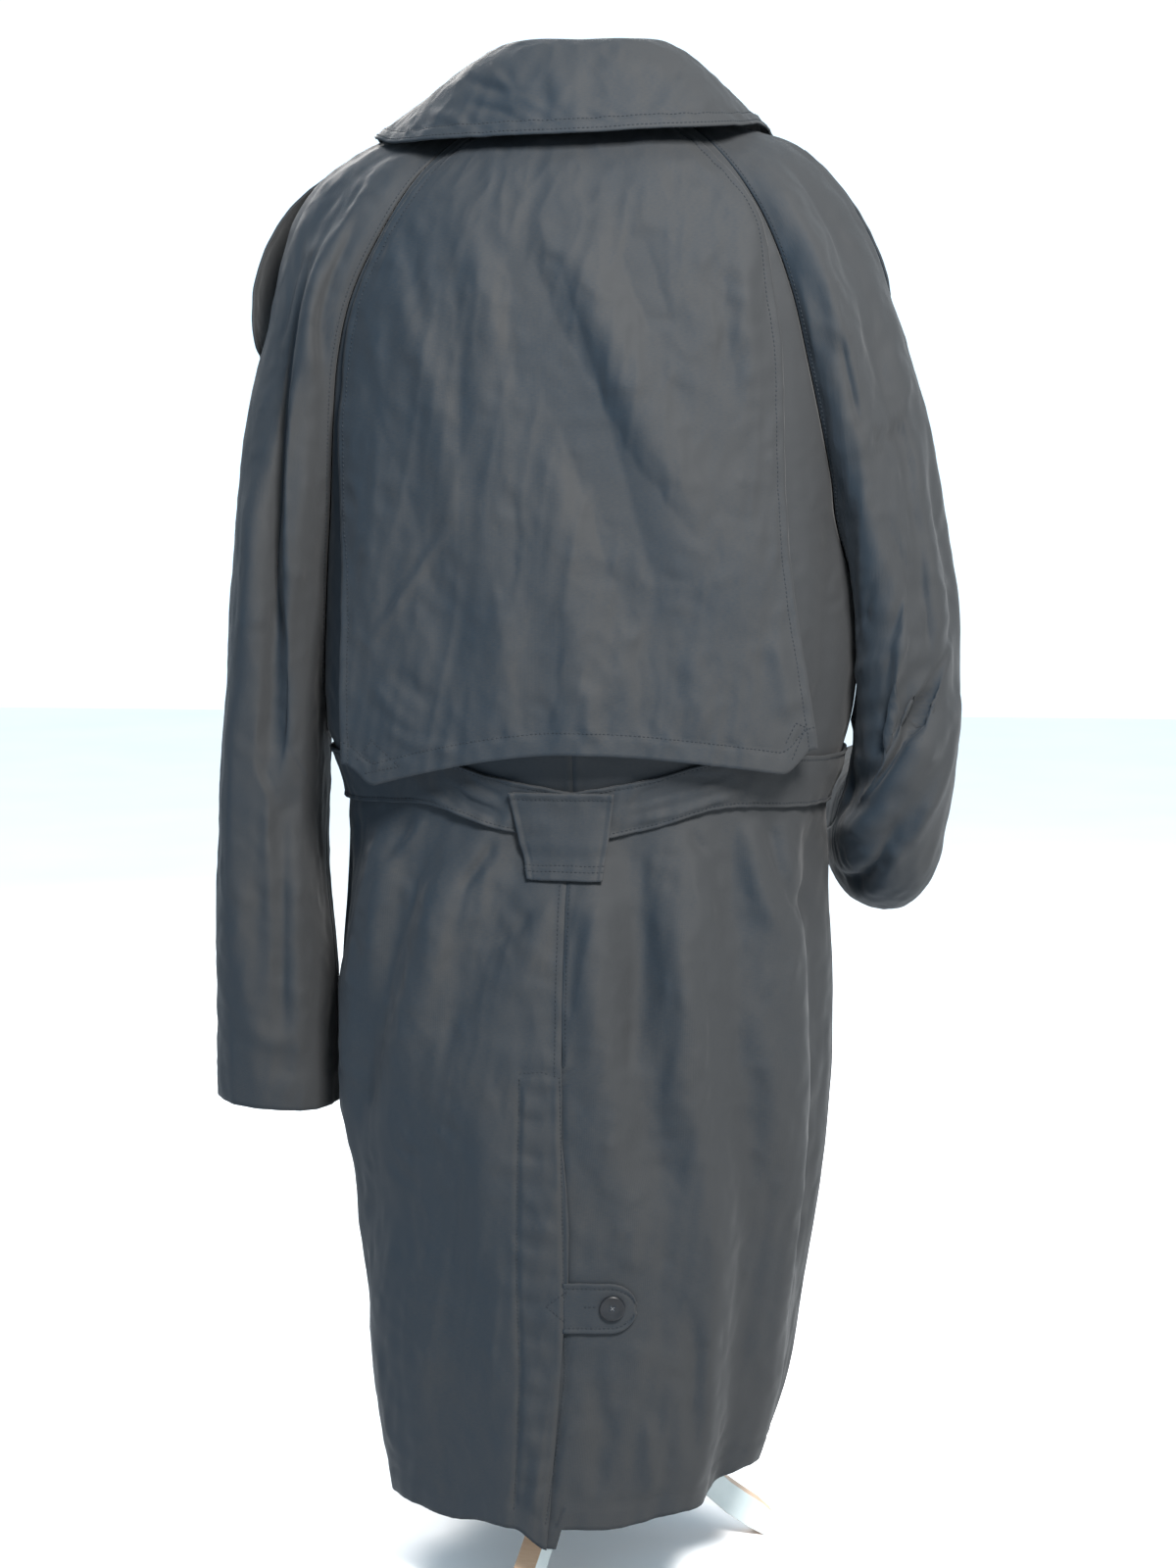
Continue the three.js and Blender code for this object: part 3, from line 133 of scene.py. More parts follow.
# Sections of the sleeves from neck edge to cuff: s is the share of the way, over and under are
# the outer and inner lines, depth is half the section's depth about mid_y.
SLEEVE_COLUMNS = "s over_x over_z under_x under_z mid_y depth bend twist"
LEFT_SLEEVE = table(
    SLEEVE_COLUMNS,
    (0, 92, 1440, 211, 967, -6, 58, 0, 0),
    (0.1, 170, 1421, 213, 962, -5, 74, 0, 0),
    (0.2, 227, 1374, 214, 955, -4, 82, 0, 3),
    (0.3, 252, 1290, 215, 944, -4, 85, 0, 12),
    (0.4, 273, 1205, 215, 928, -3, 85, 0, 20),
    (0.5, 283, 1118, 215, 905, -2, 83, 0, 16),
    (0.6, 290, 1032, 216, 872, 0, 80, 0, 8),
    (0.7, 297, 946, 214, 828, 2, 76, 0, 0),
    (0.8, 302, 858, 209, 775, 3, 71, 0, 0),
    (0.9, 306, 762, 207, 712, 3, 65, 0, 0),
    (1, 306, 656, 206, 648, 2, 60, 0, 0),
)
RIGHT_SLEEVE = table(
    SLEEVE_COLUMNS,
    (0, 92, 1440, 211, 967, -6, 58, 0, 0),
    (0.1, 168, 1416, 212, 963, -5, 74, 0, 0),
    (0.2, 218, 1354, 213, 957, -3, 82, 0, 0),
    (0.3, 246, 1280, 213, 950, -2, 85, 0, 0),
    (0.4, 271, 1203, 213, 942, 0, 86, 0, 0),
    (0.5, 286, 1122, 211, 932, 2, 84, 0, 0),
    (0.6, 298, 1036, 209, 920, 4, 80, 3, 0),
    (0.7, 297, 948, 203, 900, 1, 75, 18, 0),
    (0.8, 287, 876, 198, 880, -24, 68, 50, 0),
    (0.9, 278, 864, 190, 868, -86, 62, 78, 0),
    (1, 270, 868, 184, 872, -158, 57, 88, 0),
)
SLEEVE_SQUARENESS = 2.3
SLEEVE_FOLD_COLUMNS = "start around_start end around_end width depth fade"
LEFT_SLEEVE_FOLDS = table(
    SLEEVE_FOLD_COLUMNS,
    (0.12, 62, 0.62, 92, 15, -14, 0.1),
    (0.3, 48, 0.95, 56, 17, 6, 0.12),
    (0.52, 120, 0.95, 108, 14, -7, 0.1),
    (0.25, -70, 0.8, -84, 18, -9, 0.12),
    (0.5, -120, 0.85, -112, 15, 6, 0.1),
)
RIGHT_SLEEVE_FOLDS = table(
    SLEEVE_FOLD_COLUMNS,
    (0.2, 52, 0.58, 62, 14, -11, 0.06),
    (0.38, 30, 0.62, 26, 14, -11, 0.06),
    (0.46, 84, 0.62, 112, 12, 9, 0.05),
    (0.58, 40, 0.66, 128, 15, -13, 0.05),
    (0.66, 22, 0.76, 100, 18, 8, 0.06),
    (0.72, 96, 0.84, 140, 13, -11, 0.05),
    (0.3, -60, 0.6, -72, 16, -9, 0.1),
    (0.6, -40, 0.68, -110, 14, -10, 0.05),
    (0.74, -50, 0.78, -120, 12, -8, 0.05),
)

# The storm flap that hangs over the back: its reach to both sides and its own depths.
STORM_FLAP = table(
    "z left right back left_back right_back",
    (1431, 73, 73, 66, 36, 36),
    (1418, 94, 92, 85, 60, 60),
    (1392, 120, 116, 106, 80, 80),
    (1355, 145, 140, 124, 92, 92),
    (1305, 170, 150, 134, 94, 100),
    (1255, 181, 157, 140, 96, 104),
    (1155, 183, 160, 148, 104, 112),
    (1080, 183, 167, 153, 110, 116),
    (1000, 183, 180, 157, 114, 116),
    (910, 182, 194, 160, 116, 112),
)
FLAP_FOLDS = table(
    "top_at top bottom_at bottom width depth fade",
    (46, 1400, 33, 1010, 21, -6, 90),
    (36, 1400, 20, 980, 22, 5, 90),
    (14, 1330, -30, 1010, 24, -5, 90),
    (-4, 1330, -44, 1050, 22, 5, 90),
    (4, 1180, -4, 900, 24, 5, 80),
    (-42, 1300, -46, 1120, 18, -5, 50),
)
FLAP_HEM = {"centre": 957, "left": 918, "right": 934, "corner": 24}


# Helpers for tables and smooth shapes
def mix(a, b, t):
    return a + (b - a) * t


def ramp(start, end, at):
    t = np.clip((at - start) / (end - start), 0, 1)
    return t * t * (3 - 2 * t)


def column(rows, key, along, at):
    """The value of one column at a place along another, on a smooth curve through the rows."""
    order = np.argsort(rows[along])
    xs = rows[along][order]
    ys = rows[key][order]
    secant = np.diff(ys) / np.diff(xs)
    slope = np.empty(len(xs))
    slope[0] = secant[0]
    slope[-1] = secant[-1]
    middle = (ys[2:] - ys[:-2]) / (xs[2:] - xs[:-2])
    slope[1:-1] = np.where(secant[:-1] * secant[1:] <= 0, 0, middle)
    at = np.clip(np.asarray(at, float), xs[0], xs[-1])
    k = np.clip(np.searchsorted(xs, at) - 1, 0, len(xs) - 2)
    span = xs[k + 1] - xs[k]
    t = (at - xs[k]) / span
    start = ys[k] * (2 * t**3 - 3 * t**2 + 1) + slope[k] * span * (t**3 - 2 * t**2 + t)
    end = ys[k + 1] * (3 * t**2 - 2 * t**3) + slope[k + 1] * span * (t**3 - t**2)
    return start + end


def xyz(x, y, z):
    """One array of points from three arrays."""
    return np.stack(np.broadcast_arrays(x, y, z), axis=-1).astype(float)


def unit(vectors):
    return vectors / np.maximum(np.linalg.norm(vectors, axis=-1, keepdims=True), 1e-9)


def metres(points):
    return (points + SHIFT) / 1000


# The coat's surfaces, in millimetres
def body_folds(folds, place, z, radius):
    """How far the long folds move the surface out at a place of the body."""
    out = np.zeros(np.broadcast(place, z).shape)
    for top_at, top, bottom_at, bottom, width, depth, fade in zip(*folds.values()):
        run = np.clip((top - z) / (top - bottom), 0, 1)
        turn = (place - mix(top_at, bottom_at, run) + 540) % 360 - 180
        across = np.radians(turn) * radius / width
        above = ramp(top + fade * 0.3, top - fade * 0.7, z)
        below = 1 if bottom <= 330 else ramp(bottom - fade * 0.3, bottom + fade * 0.7, z)
        out = out + depth * np.exp(-np.minimum(across**2, 40)) * above * below
    return out


def body_point(place, z, lift=0.0):
    """A point of the body's surface; place is in degrees from the centre back."""
    place, z = np.broadcast_arrays(np.asarray(place, float), np.asarray(z, float))
    sine = np.sin(np.radians(place))
    cosine = np.cos(np.radians(place))
    power = BODY_SQUARENESS

    def value(key):
        return column(BODY, key, "z", z)

    seam_x = np.where(sine > 0, value("left"), value("right"))
    seam_y = np.where(cosine >= 0, value("seam_back"), value("seam_front"))
    depth = np.where(cosine >= 0, value("back"), value("front"))
    seam_radius = np.hypot(seam_x, seam_y)
    depth_term = (seam_y / seam_radius / depth) ** power
    side_term = (seam_radius**-power - depth_term) / (seam_x / seam_radius) ** power
    radius = (side_term * np.abs(sine) ** power + (np.abs(cosine) / depth) ** power) ** (-1 / power)
    out = radius + lift + body_folds(BODY_FOLDS, place, z, radius)
    return xyz(value("lean") + out * sine, out * cosine, z)


def seam_place(side, is_back, z):
    """Where the raglan or side seam runs at a level, in degrees from the centre back."""
    z = np.asarray(z, float)
    seam_x = column(BODY, "left" if side > 0 else "right", "z", z)
    seam_y = column(BODY, "seam_back" if is_back else "seam_front", "z", z)
    across = np.degrees(np.arctan2(seam_x, seam_y))
    return np.where(z <= ARMPIT_LEVEL, 90, across if is_back else 180 - across)


def back_place(x, z):
    """The place of the back panels' outside at a distance from the middle."""
    x, z = np.broadcast_arrays(np.asarray(x, float), np.asarray(z, float))
    low = np.full(x.shape, -89.0)
    high = np.full(x.shape, 89.0)
    for _ in range(24):
        middle = (low + high) / 2
        short = body_point(middle, z)[..., 0] < x
        low = np.where(short, middle, low)
        high = np.where(short, high, middle)
    return low


def neck_dip(place):
    return 30 * ramp(118, 172, np.abs(place))


def hem_level(place):
    wave = 4 * np.sin(np.radians(place * 5 + 40)) + 3 * np.sin(np.radians(place * 9))
    corner = np.where(place > -2, -16 * ramp(11, 1, place), 0)
    rise = 11 * ramp(-8, -45, place) + 8 * ramp(-42, -62, place)
    return HEM_LEVEL + wave * ramp(8, 30, np.abs(place)) + corner + rise


def body_panel(side, is_back, edge_place, lift):
    """The surface of one body panel, from the neck to the hem and from the seam to its edge."""

    def surface(p, q):
        z = mix(NECK_LEVEL, 345, p)
        if is_back:
            place = seam_place(side, True, z) * (1 - q) + edge_place(z) * np.maximum(0, 4 * q - 3)
        else:
            place = mix(seam_place(side, False, z), edge_place(z), q)
        place = side * place
        dip = 0 if is_back else neck_dip(place) * ramp(1330, NECK_LEVEL, z)
        drop = (hem_level(place) - HEM_LEVEL) * ramp(600, HEM_LEVEL, z)
        return body_point(place, z - dip + drop, lift(place, z))

    return surface


def vent_drift(z):
    return 1.5 * ramp(560, HEM_LEVEL, z)


def vent_lift(place, z):
    return 3.6 * ramp(745, 718, z) * ramp(26, 13, place)


def vent_reach(z):
    return -math.degrees(VENT_LAP / 165) * ramp(718, 700, z)


def front_reach(z):
    share = (np.maximum(z, BREAK_LEVEL) - BREAK_LEVEL) / (NECK_LEVEL - BREAK_LEVEL)
    return mix(-WRAP_HALF, 58, share**0.9)


def wrap_place(z):
    return 180 - np.degrees(np.arctan2(front_reach(z), column(BODY, "front", "z", z)))


def wrap_lift(place):
    return 5.5 * ramp(118, 146, np.abs(place))


OVERARM_PLACE = 96  # place of the overarm seam on the neck edge
NECK_SHARE = 2 / 11  # share of a sleeve's top line that lies on the neck edge
SEAM_RUN = table(
    "share z",
    *[
        (share / 11, z)
        for share, z in zip(range(2, 12), (1435, 1416, 1384, 1338, 1284, 1220, 1148, 1072, 1005, 967))
    ],
)


def neck_edge(place):
    """The neck edge at a place, through both backs, both sleeves and both fronts."""
    place = np.asarray(place, float)
    side = np.where(place < 0, -1, 1)
    away = np.abs(place)
    back = np.where(side > 0, seam_place(1, True, NECK_LEVEL), seam_place(-1, True, NECK_LEVEL))
    front = np.where(side > 0, seam_place(1, False, NECK_LEVEL), seam_place(-1, False, NECK_LEVEL))
    rise = 5 * np.sin(np.pi * np.clip((away - back) / (front - back), 0, 1))
    dip = np.where(away > front, neck_dip(place), 0)
    edge = body_point(place, NECK_LEVEL - dip)
    edge[..., 2] += rise
    return edge


def sleeve_top(side, is_back, t):
    """The line round a sleeve's top: the neck edge, then the raglan seam down to the armpit."""
    at_seam = seam_place(side, is_back, NECK_LEVEL)
    at_neck = neck_edge(side * mix(OVERARM_PLACE, at_seam, np.clip(t / NECK_SHARE, 0, 1)))
    z = column(SEAM_RUN, "z", "share", t)
    at_seam = body_point(side * seam_place(side, is_back, z), z)
    return np.where((t < NECK_SHARE)[..., None], at_neck, at_seam)


def sleeve_section(rows, side, around, s):
    """A point of a sleeve's own round section, and the section's centre."""

    def value(key):
        return column(rows, key, "s", s)

    over = xyz(side * value("over_x"), value("mid_y"), value("over_z"))
    under = xyz(side * value("under_x"), value("mid_y"), value("under_z"))
    centre = (over + under) / 2
    across = (over - under) / 2
    bend = np.radians(value("bend"))
    deep = xyz(0 * bend, np.cos(bend), -np.sin(bend)) * value("depth")[..., None]
    turn = np.radians(around + value("twist"))
    cosine = np.cos(turn)
    sine = np.sin(turn)
    power = SLEEVE_SQUARENESS
    reach = (np.abs(cosine) ** power + np.abs(sine) ** power) ** (-1 / power)
    return centre + across * (cosine * reach)[..., None] + deep * (sine * reach)[..., None], centre


def sleeve_folds(folds, around, s):
    out = np.zeros(np.broadcast(around, s).shape)
    for start, around_start, end, around_end, width, depth, fade in zip(*folds.values()):
        run = np.clip((s - start) / (end - start), 0, 1)
        turn = (around - mix(around_start, around_end, run) + 540) % 360 - 180
        along = np.maximum(0, np.maximum(start - s, s - end)) * 860
        away = np.hypot(np.radians(turn) * 78, along) / width
        ends = 0.35 + 0.65 * ramp(0, fade, np.minimum(s - start, end - s))
        out = out + depth * np.exp(-np.minimum(away**2, 40)) * ends
    return out


def sleeve_half(rows, folds, side, is_back):
    """The surface of half a sleeve: p runs to the cuff, and q from the overarm to the underarm."""

    def surface(p, q):
        p, q = np.broadcast_arrays(np.asarray(p, float), np.asarray(q, float))
        around = 180 * np.maximum(0, q) ** 0.86 * (1 if is_back else -1)
        point, centre = sleeve_section(rows, side, around, p)
        start, _ = sleeve_section(rows, side, around, np.zeros_like(p))
        point = point + (sleeve_top(side, is_back, q) - start) * (1 - ramp(0, 0.42, p))[..., None]
        settled = ramp(0.02, 0.12, p)
        return point + unit(point - centre) * (sleeve_folds(folds, around, p) * settled)[..., None]

    return surface


def flap_surface(p, q):
    across = 2 * q - 1
    reach = np.abs(across)
    hem = mix(FLAP_HEM["centre"], np.where(across > 0, FLAP_HEM["left"], FLAP_HEM["right"]), reach**1.7)
    corner = FLAP_HEM["corner"] * ramp(0.84, 1, reach) * ramp(0.8, 1, p)
    z = mix(STORM_FLAP["z"][0], hem, p) + corner

    def value(key):
        return column(STORM_FLAP, key, "z", z)

    x = across * np.where(across > 0, value("left"), value("right"))
    under = body_point(back_place(x, z), z)[..., 1]
    sides = np.where(across > 0, value("left_back"), value("right_back"))
    own = mix(value("back"), sides, reach**2.2)
    fold = body_folds(FLAP_FOLDS, np.degrees(np.arctan2(x, 130)), z, 140)
    clear = 2.9 + np.abs(x) / 120 + (3.6 + np.abs(x) / 70) * ramp(1365, 1415, z)
    free = np.maximum(own + fold, under + clear)
    return xyz(x, mix(free, under + 1.3, ramp(0.84, 1, reach) * ramp(1000, 1180, z)), z)


# Collar rows: the fold and the fall's edge at a place of the neck
COLLAR_COLUMNS = "at fold_x fold_y fold_z edge_x edge_y edge_z"
COLLAR_LEFT = table(
    COLLAR_COLUMNS,
    (0, 0, 66, COLLAR_TOP, 0, 112, 1422),
    (25, 32, 62, 1496, 55, 106, 1421),
    (50, 62, 42, 1493, 110, 86, 1420),
    (80, 83, 10, 1480, 150, 45, 1421),
    (105, 86, -25, 1466, 170, -4, 1428),
    (126, 80, -60, 1449, 162, -58, 1413),
    (140, 66, -88, 1430, 132, -112, 1378),
)
COLLAR_RIGHT = table(
    COLLAR_COLUMNS,
    (0, 0, 66, COLLAR_TOP, 0, 112, 1422),
    (25, 33, 62, 1496, 48, 107, 1425),
    (50, 63, 42, 1495, 94, 90, 1428),
    (80, 79, 10, 1482, 125, 52, 1432),
    (105, 82, -25, 1466, 138, 0, 1436),
    (126, 76, -60, 1449, 146, -58, 1417),
    (140, 66, -88, 1430, 128, -112, 1378),
)
COLLAR_END = 140


def collar_row(place, part):
    def value(key):
        left = column(COLLAR_LEFT, f"{part}_{key}", "at", np.abs(place))
        right = column(COLLAR_RIGHT, f"{part}_{key}", "at", np.abs(place))
        return np.where(place > 0, left, right)

    return xyz(value("x") * np.where(place > 0, 1, -1), value("y"), value("z"))


def fall_surface(p, q):
    place = mix(-COLLAR_END, COLLAR_END, q)
    fold = collar_row(place, "fold")
    edge = collar_row(place, "edge")
    flat = unit((edge - fold) * [1, 1, 0])
    bulge = (11 * np.sin(np.pi * np.maximum(0, p) ** 0.7))[..., None]
    point = mix(fold, edge, p[..., None]) + flat * bulge * 0.7
    point[..., 2:] = fold[..., 2:] * (1 - p[..., None]) + edge[..., 2:] * p[..., None] + bulge * 0.5
    return point


def stand_surface(p, q):
    place = mix(-COLLAR_END, COLLAR_END, q)
    foot = neck_edge(place) + [0, 0, 0.8]
    fold = collar_row(place, "fold")
    top = fold + unit(fold * [1, 1, 0]) * 0.3 - [0, 0, 4]
    return mix(foot, top, p[..., None])


# Lapels turn back along each front's edge. Each row gives the outer edge at a level.
LAPEL_LEFT = table(
    "z edge_at edge_z lift",
    (1196, 206, 1191, 3),
    (1240, 182, 1222, 4),
    (1295, 152, 1272, 5),
    (1345, 132, 1318, 6),
    (1388, 124, 1352, 6),
    (1410, 132, 1382, 5),
)
LAPEL_RIGHT = table(
    "z edge_at edge_z lift",
    (1334, 164, 1322, 3),
    (1352, 142, 1334, 4),
    (1375, 130, 1348, 5),
    (1394, 126, 1362, 5),
    (1410, 132, 1382, 4),
)


def lapel(side, rows):
    def surface(p, q):
        z = mix(rows["z"][0], rows["z"][-1], p)
        place = mix(wrap_place(z) - 1.5, column(rows, "edge_at", "z", z), q)
        level = mix(z, column(rows, "edge_z", "z", z), q)
        dip = neck_dip(place) * ramp(1330, NECK_LEVEL, level)
        front = wrap_lift(place) if side > 0 else 0
        roll = column(rows, "lift", "z", z) * np.sin(0.85 * np.pi * np.maximum(0, q))
        return body_point(side * place, level - dip, front + 3.2 + roll)

    return surface


# Belt: a band round the waist that rises towards the sides
BELT = table("at z", (0, 904), (24, 915), (48, 931), (80, 925), (180, 925))
BELT_LIFT = 3.8


def belt_point(place, p, lift=BELT_LIFT):
    turned = np.abs((place + 180) % 360 - 180)
    z = column(BELT, "z", "at", turned) + BELT_WIDTH * (0.5 - p)
    front = np.where(place > 90, wrap_lift(place), 0)
    return body_point(place, z, lift + front + 1.2 * np.sin(np.pi * p))


def belt_surface(p, q):
    return belt_point(mix(-140, 234, q), p)


BELT_LOOP = {"top": (924, -27, 50), "bottom": (858, -20, 37)}


def loop_surface(p, q):
    z, start, end = (mix(a, b, p) for a, b in zip(BELT_LOOP["top"], BELT_LOOP["bottom"]))
    place = back_place(mix(start, end, q) - 3, z)
    return body_point(place, z, mix(4.4, BELT_LIFT + 4, ramp(872, 886, z)))


VENT_TAB = {"middle": 527, "half": 20, "start": 5, "end": -51}


def tab_surface(p, q):
    half = VENT_TAB["half"]
    x = mix(VENT_TAB["start"], VENT_TAB["end"], q)
    end = np.clip((half - (x - VENT_TAB["end"])) / half, 0, 1)
    z = VENT_TAB["middle"] + half * np.sqrt(1 - 0.9 * end**2) * (1 - 2 * p)
    return body_point(back_place(x, z), z, 2.05)


SHOULDER_TABS = {
    "left": {"start": 0.15, "end": 0.345, "around": -27, "half": 19, "seat": 2.1, "stand": 20},
    "right": {"start": 0.1, "end": 0.27, "around": -30, "half": 17, "seat": 2.8, "stand": 2},
}


def strap(sleeve, side, tab):
    """The surface of a shoulder tab: p runs from the neck to its free end, and q across it."""

    def surface(p, q):
        p, q = np.broadcast_arrays(np.asarray(p, float), np.asarray(q, float))
        taper = np.sqrt(1 - 0.8 * np.clip((p - 0.86) / 0.14, 0, 1) ** 2)
        s = mix(tab["start"], tab["end"], p)
        place = tab["around"] + tab["half"] * taper * (2 * q - 1)
        middle = np.full_like(p, (abs(tab["around"]) / 180) ** (1 / 0.86))
        step = 2e-3
        across = sleeve(s, middle + step) - sleeve(s, middle - step)
        along = sleeve(s + step, middle) - sleeve(s - step, middle)
        out = unit(np.cross(along, across)) * -side
        at = sleeve(s, (np.abs(place) / 180) ** (1 / 0.86))
        return at + out * (tab["seat"] + tab["stand"] * np.sin(np.pi * np.maximum(0, p) ** 1.5))[..., None]

    return surface


# Listed creases, as the view from behind shows them. Each runs through points across and down the
# picture. A crease's width and depth are millimetres; skew turns a ridge into a step.
CREASE_GAIN = 1.7


def crease(points, width, depth, skew=0.0, fade=0.3):
    return {"points": points, "width": width, "depth": depth, "skew": skew, "fade": fade}


FLAP_CREASES = [
    crease([(412, 200), (432, 332), (459, 444), (478, 560), (486, 686)], 15, 3.6, 0.4),
    crease([(508, 199), (539, 270), (593, 399), (629, 466), (659, 502), (741, 604), (761, 645)],
           26, -3.8, 0.3),
    crease([(560, 190), (600, 290), (650, 400), (700, 480), (770, 560)], 22, 3.5, 0.2),
    crease([(462, 525), (420, 590), (368, 665)], 5, 2.2, -0.5),
    crease([(731, 136), (776, 230), (767, 332), (785, 422)], 13, 3.8, 0.5),
    crease([(414, 218), (418, 273), (435, 354)], 8, -2.0),
    crease([(352, 380), (356, 480), (362, 580)], 12, 3.0, 0.3),
    crease([(378, 690), (402, 722), (430, 748)], 6, 1.8, 0.3),
    crease([(395, 680), (425, 706), (455, 724)], 6, -1.6),
    crease([(384, 735), (420, 760), (470, 766)], 5, 1.4),
    crease([(600, 690), (606, 730), (604, 762)], 9, 2.2, 0.3),
    crease([(655, 650), (664, 700), (660, 758)], 8, -1.8, 0.3),
    crease([(560, 600), (548, 680), (540, 760)], 16, -2.6),
    crease([(700, 640), (716, 700), (722, 765)], 12, 2.2, 0.3),
    crease([(505, 460), (520, 540), (516, 640)], 13, -2.2, 0.3),
    crease([(735, 250), (748, 330), (745, 420)], 10, -2.2, 0.3),
    crease([(480, 230), (500, 300), (512, 380)], 12, 2.0),
    crease([(640, 220), (662, 300), (690, 370)], 14, -2.4),
    crease([(790, 640), (800, 700), (806, 745)], 8, 2.2),
]
BACK_CREASES = [
    crease([(426, 822), (412, 850), (390, 884)], 5, -3.2, 0.4),
    crease([(440, 826), (426, 850), (411, 876)], 4, 2.4, 0.3),
    crease([(514, 849), (496, 880), (466, 912)], 6, -3.6, 0.4),
    crease([(376, 815), (356, 900), (338, 1018)], 9, -4.5, 0.4),
    crease([(549, 930), (528, 950), (497, 970)], 5, -2.4, 0.4),
    crease([(633, 853), (636, 884), (632, 916)], 6, -3.0, 0.3),
    crease([(706, 842), (712, 856), (722, 872)], 5, -2.4, 0.4),
    crease([(655, 880), (660, 980), (646, 1121)], 11, -4.2, 0.3),
    crease([(713, 925), (738, 1030), (740, 1203), (771, 1255)], 12, -4.4, 0.4),
    crease([(690, 905), (700, 1020), (694, 1180)], 12, 3.4, 0.2),
    crease([(709, 1318), (716, 1410), (713, 1509)], 10, -4.2, 0.4),
    crease([(782, 805), (800, 880), (836, 950)], 8, -5.0, 0.4),
    crease([(760, 815), (776, 900), (806, 970)], 9, 4.0, 0.3),
    crease([(600, 870), (604, 960), (600, 1080)], 12, 3.0),
    crease([(566, 905), (552, 960), (534, 1010)], 8, 2.2, 0.3),
    crease([(470, 830), (446, 900), (425, 985)], 9, 3.6, 0.3),
    crease([(404, 850), (388, 930), (378, 1040)], 10, 3.6, 0.2),
    crease([(492, 856), (470, 940), (455, 1040)], 9, -2.6, 0.2),
    crease([(430, 1080), (418, 1200), (424, 1330)], 15, -3.0, 0.2),
    crease([(480, 1060), (492, 1180), (486, 1320)], 13, 2.6),
    crease([(640, 1180), (650, 1300), (662, 1430)], 13, 2.4, 0.2),
    crease([(760, 1000), (790, 1100), (800, 1240)], 14, 3.0, 0.2),
    crease([(610, 1390), (618, 1460), (610, 1540)], 9, -2.4, 0.3),
    crease([(660, 1440), (664, 1490), (668, 1530)], 8, 2.2),
    crease([(450, 1380), (446, 1450), (452, 1530)], 12, -2.4, 0.2),
    crease([(540, 1440), (548, 1500), (543, 1560)], 7, 1.8),
]
# The stitched band of the vent: its two long lines, the bar at its top, and puckers between
VENT_EDGE = [(571, 1102), (573, 1200), (575, 1300), (577, 1400), (568, 1480), (556, 1560)]
VENT_LINE = [(530, 1100), (528, 1200), (527, 1300), (530, 1400), (528, 1480), (524, 1545)]
VENT_BAR = [(529, 1096), (552, 1094), (574, 1101)]
BACK_CREASES += [crease(line, 2.4, -1.0, 0, 0.03) for line in (VENT_EDGE, VENT_LINE, VENT_BAR)]
for i in range(28):
    down = 1112 + 15.5 * i
    tilt = 6 * math.sin(2.1 * i)
    start = 529 - 9 * abs(math.sin(1.3 * i))
    depth = (0.8 if i % 2 else -0.9) * (1 + 0.4 * math.sin(3.7 * i))
    places = [(start, down), (550, down + 4 + tilt), (572, down + 1.5 * tilt)]
    BACK_CREASES.append(crease(places, 4.5, depth, 0.2))
COLLAR_CREASES = [
    crease([(468, 76), (505, 88), (548, 97)], 5, -2.0, 0.4),
    crease([(498, 62), (522, 92), (566, 110)], 5, 1.6, 0.4),
    crease([(470, 104), (500, 110), (530, 118)], 4, -1.2),
    crease([(560, 60), (572, 90), (570, 118)], 9, 1.4),
    crease([(650, 58), (664, 90), (660, 118)], 8, -1.3),
    crease([(700, 66), (716, 92), (728, 118)], 9, 1.3),
    crease([(430, 112), (450, 118), (480, 122)], 5, 1.0),
]
BELT_CREASES = [
    crease([(450, 794), (480, 818), (518, 834)], 4, -2.6, 0.4),
    crease([(430, 800), (470, 830), (516, 846)], 4, 2.2, 0.4),
    crease([(470, 786), (495, 804), (520, 816)], 4, -1.4, 0.4),
    crease([(630, 824), (680, 806), (750, 788)], 4, -2.6, 0.4),
    crease([(632, 840), (690, 828), (770, 800)], 4, 2.2, 0.4),
    crease([(640, 814), (690, 798), (730, 788)], 4, -2.0, 0.4),
]
RIGHT_SLEEVE_CREASES = [
    crease([(859, 331), (868, 382), (888, 448)], 7, -4.0, 0.4),
    crease([(888, 448), (906, 444), (926, 432)], 6, -3.2, 0.4),
    crease([(919, 418), (928, 460), (936, 500)], 7, -3.0, 0.3),
    crease([(863, 692), (899, 667), (930, 640)], 9, 3.6, 0.4),
    crease([(867, 737), (905, 718), (960, 658)], 10, -4.5, 0.4),
    crease([(984, 684), (923, 756), (878, 804), (829, 856)], 16, -7.0, 0.4),
    crease([(975, 720), (930, 790), (880, 850), (842, 880)], 14, 5.0, 0.3),
    crease([(806, 560), (826, 640), (842, 720)], 8, -4.0, 0.4),
    crease([(900, 545), (916, 600), (905, 650)], 9, 3.4, 0.4),
    crease([(934, 634), (922, 580), (904, 534)], 7, -3.4, 0.4),
    crease([(876, 642), (884, 612), (892, 588)], 6, -3.0, 0.3),
    crease([(800, 250), (830, 330), (856, 420), (864, 540)], 9, 3.0, 0.3),
    crease([(880, 480), (896, 560), (892, 640)], 10, 3.8, 0.3),
    crease([(940, 540), (952, 600), (950, 660)], 10, 3.2, 0.2),
    crease([(838, 440), (850, 540), (856, 640)], 7, -3.0, 0.3),
    crease([(860, 780), (900, 770), (950, 740)], 10, 3.6, 0.3),
    crease([(850, 830), (890, 820), (930, 800)], 9, -3.4, 0.3),
    crease([(848, 880), (880, 870), (930, 862)], 8, 2.4, 0.3),
    crease([(905, 300), (915, 360), (935, 420)], 9, 2.2, 0.2),
    crease([(820, 190), (860, 240), (886, 300)], 12, -2.4, 0.2),
]
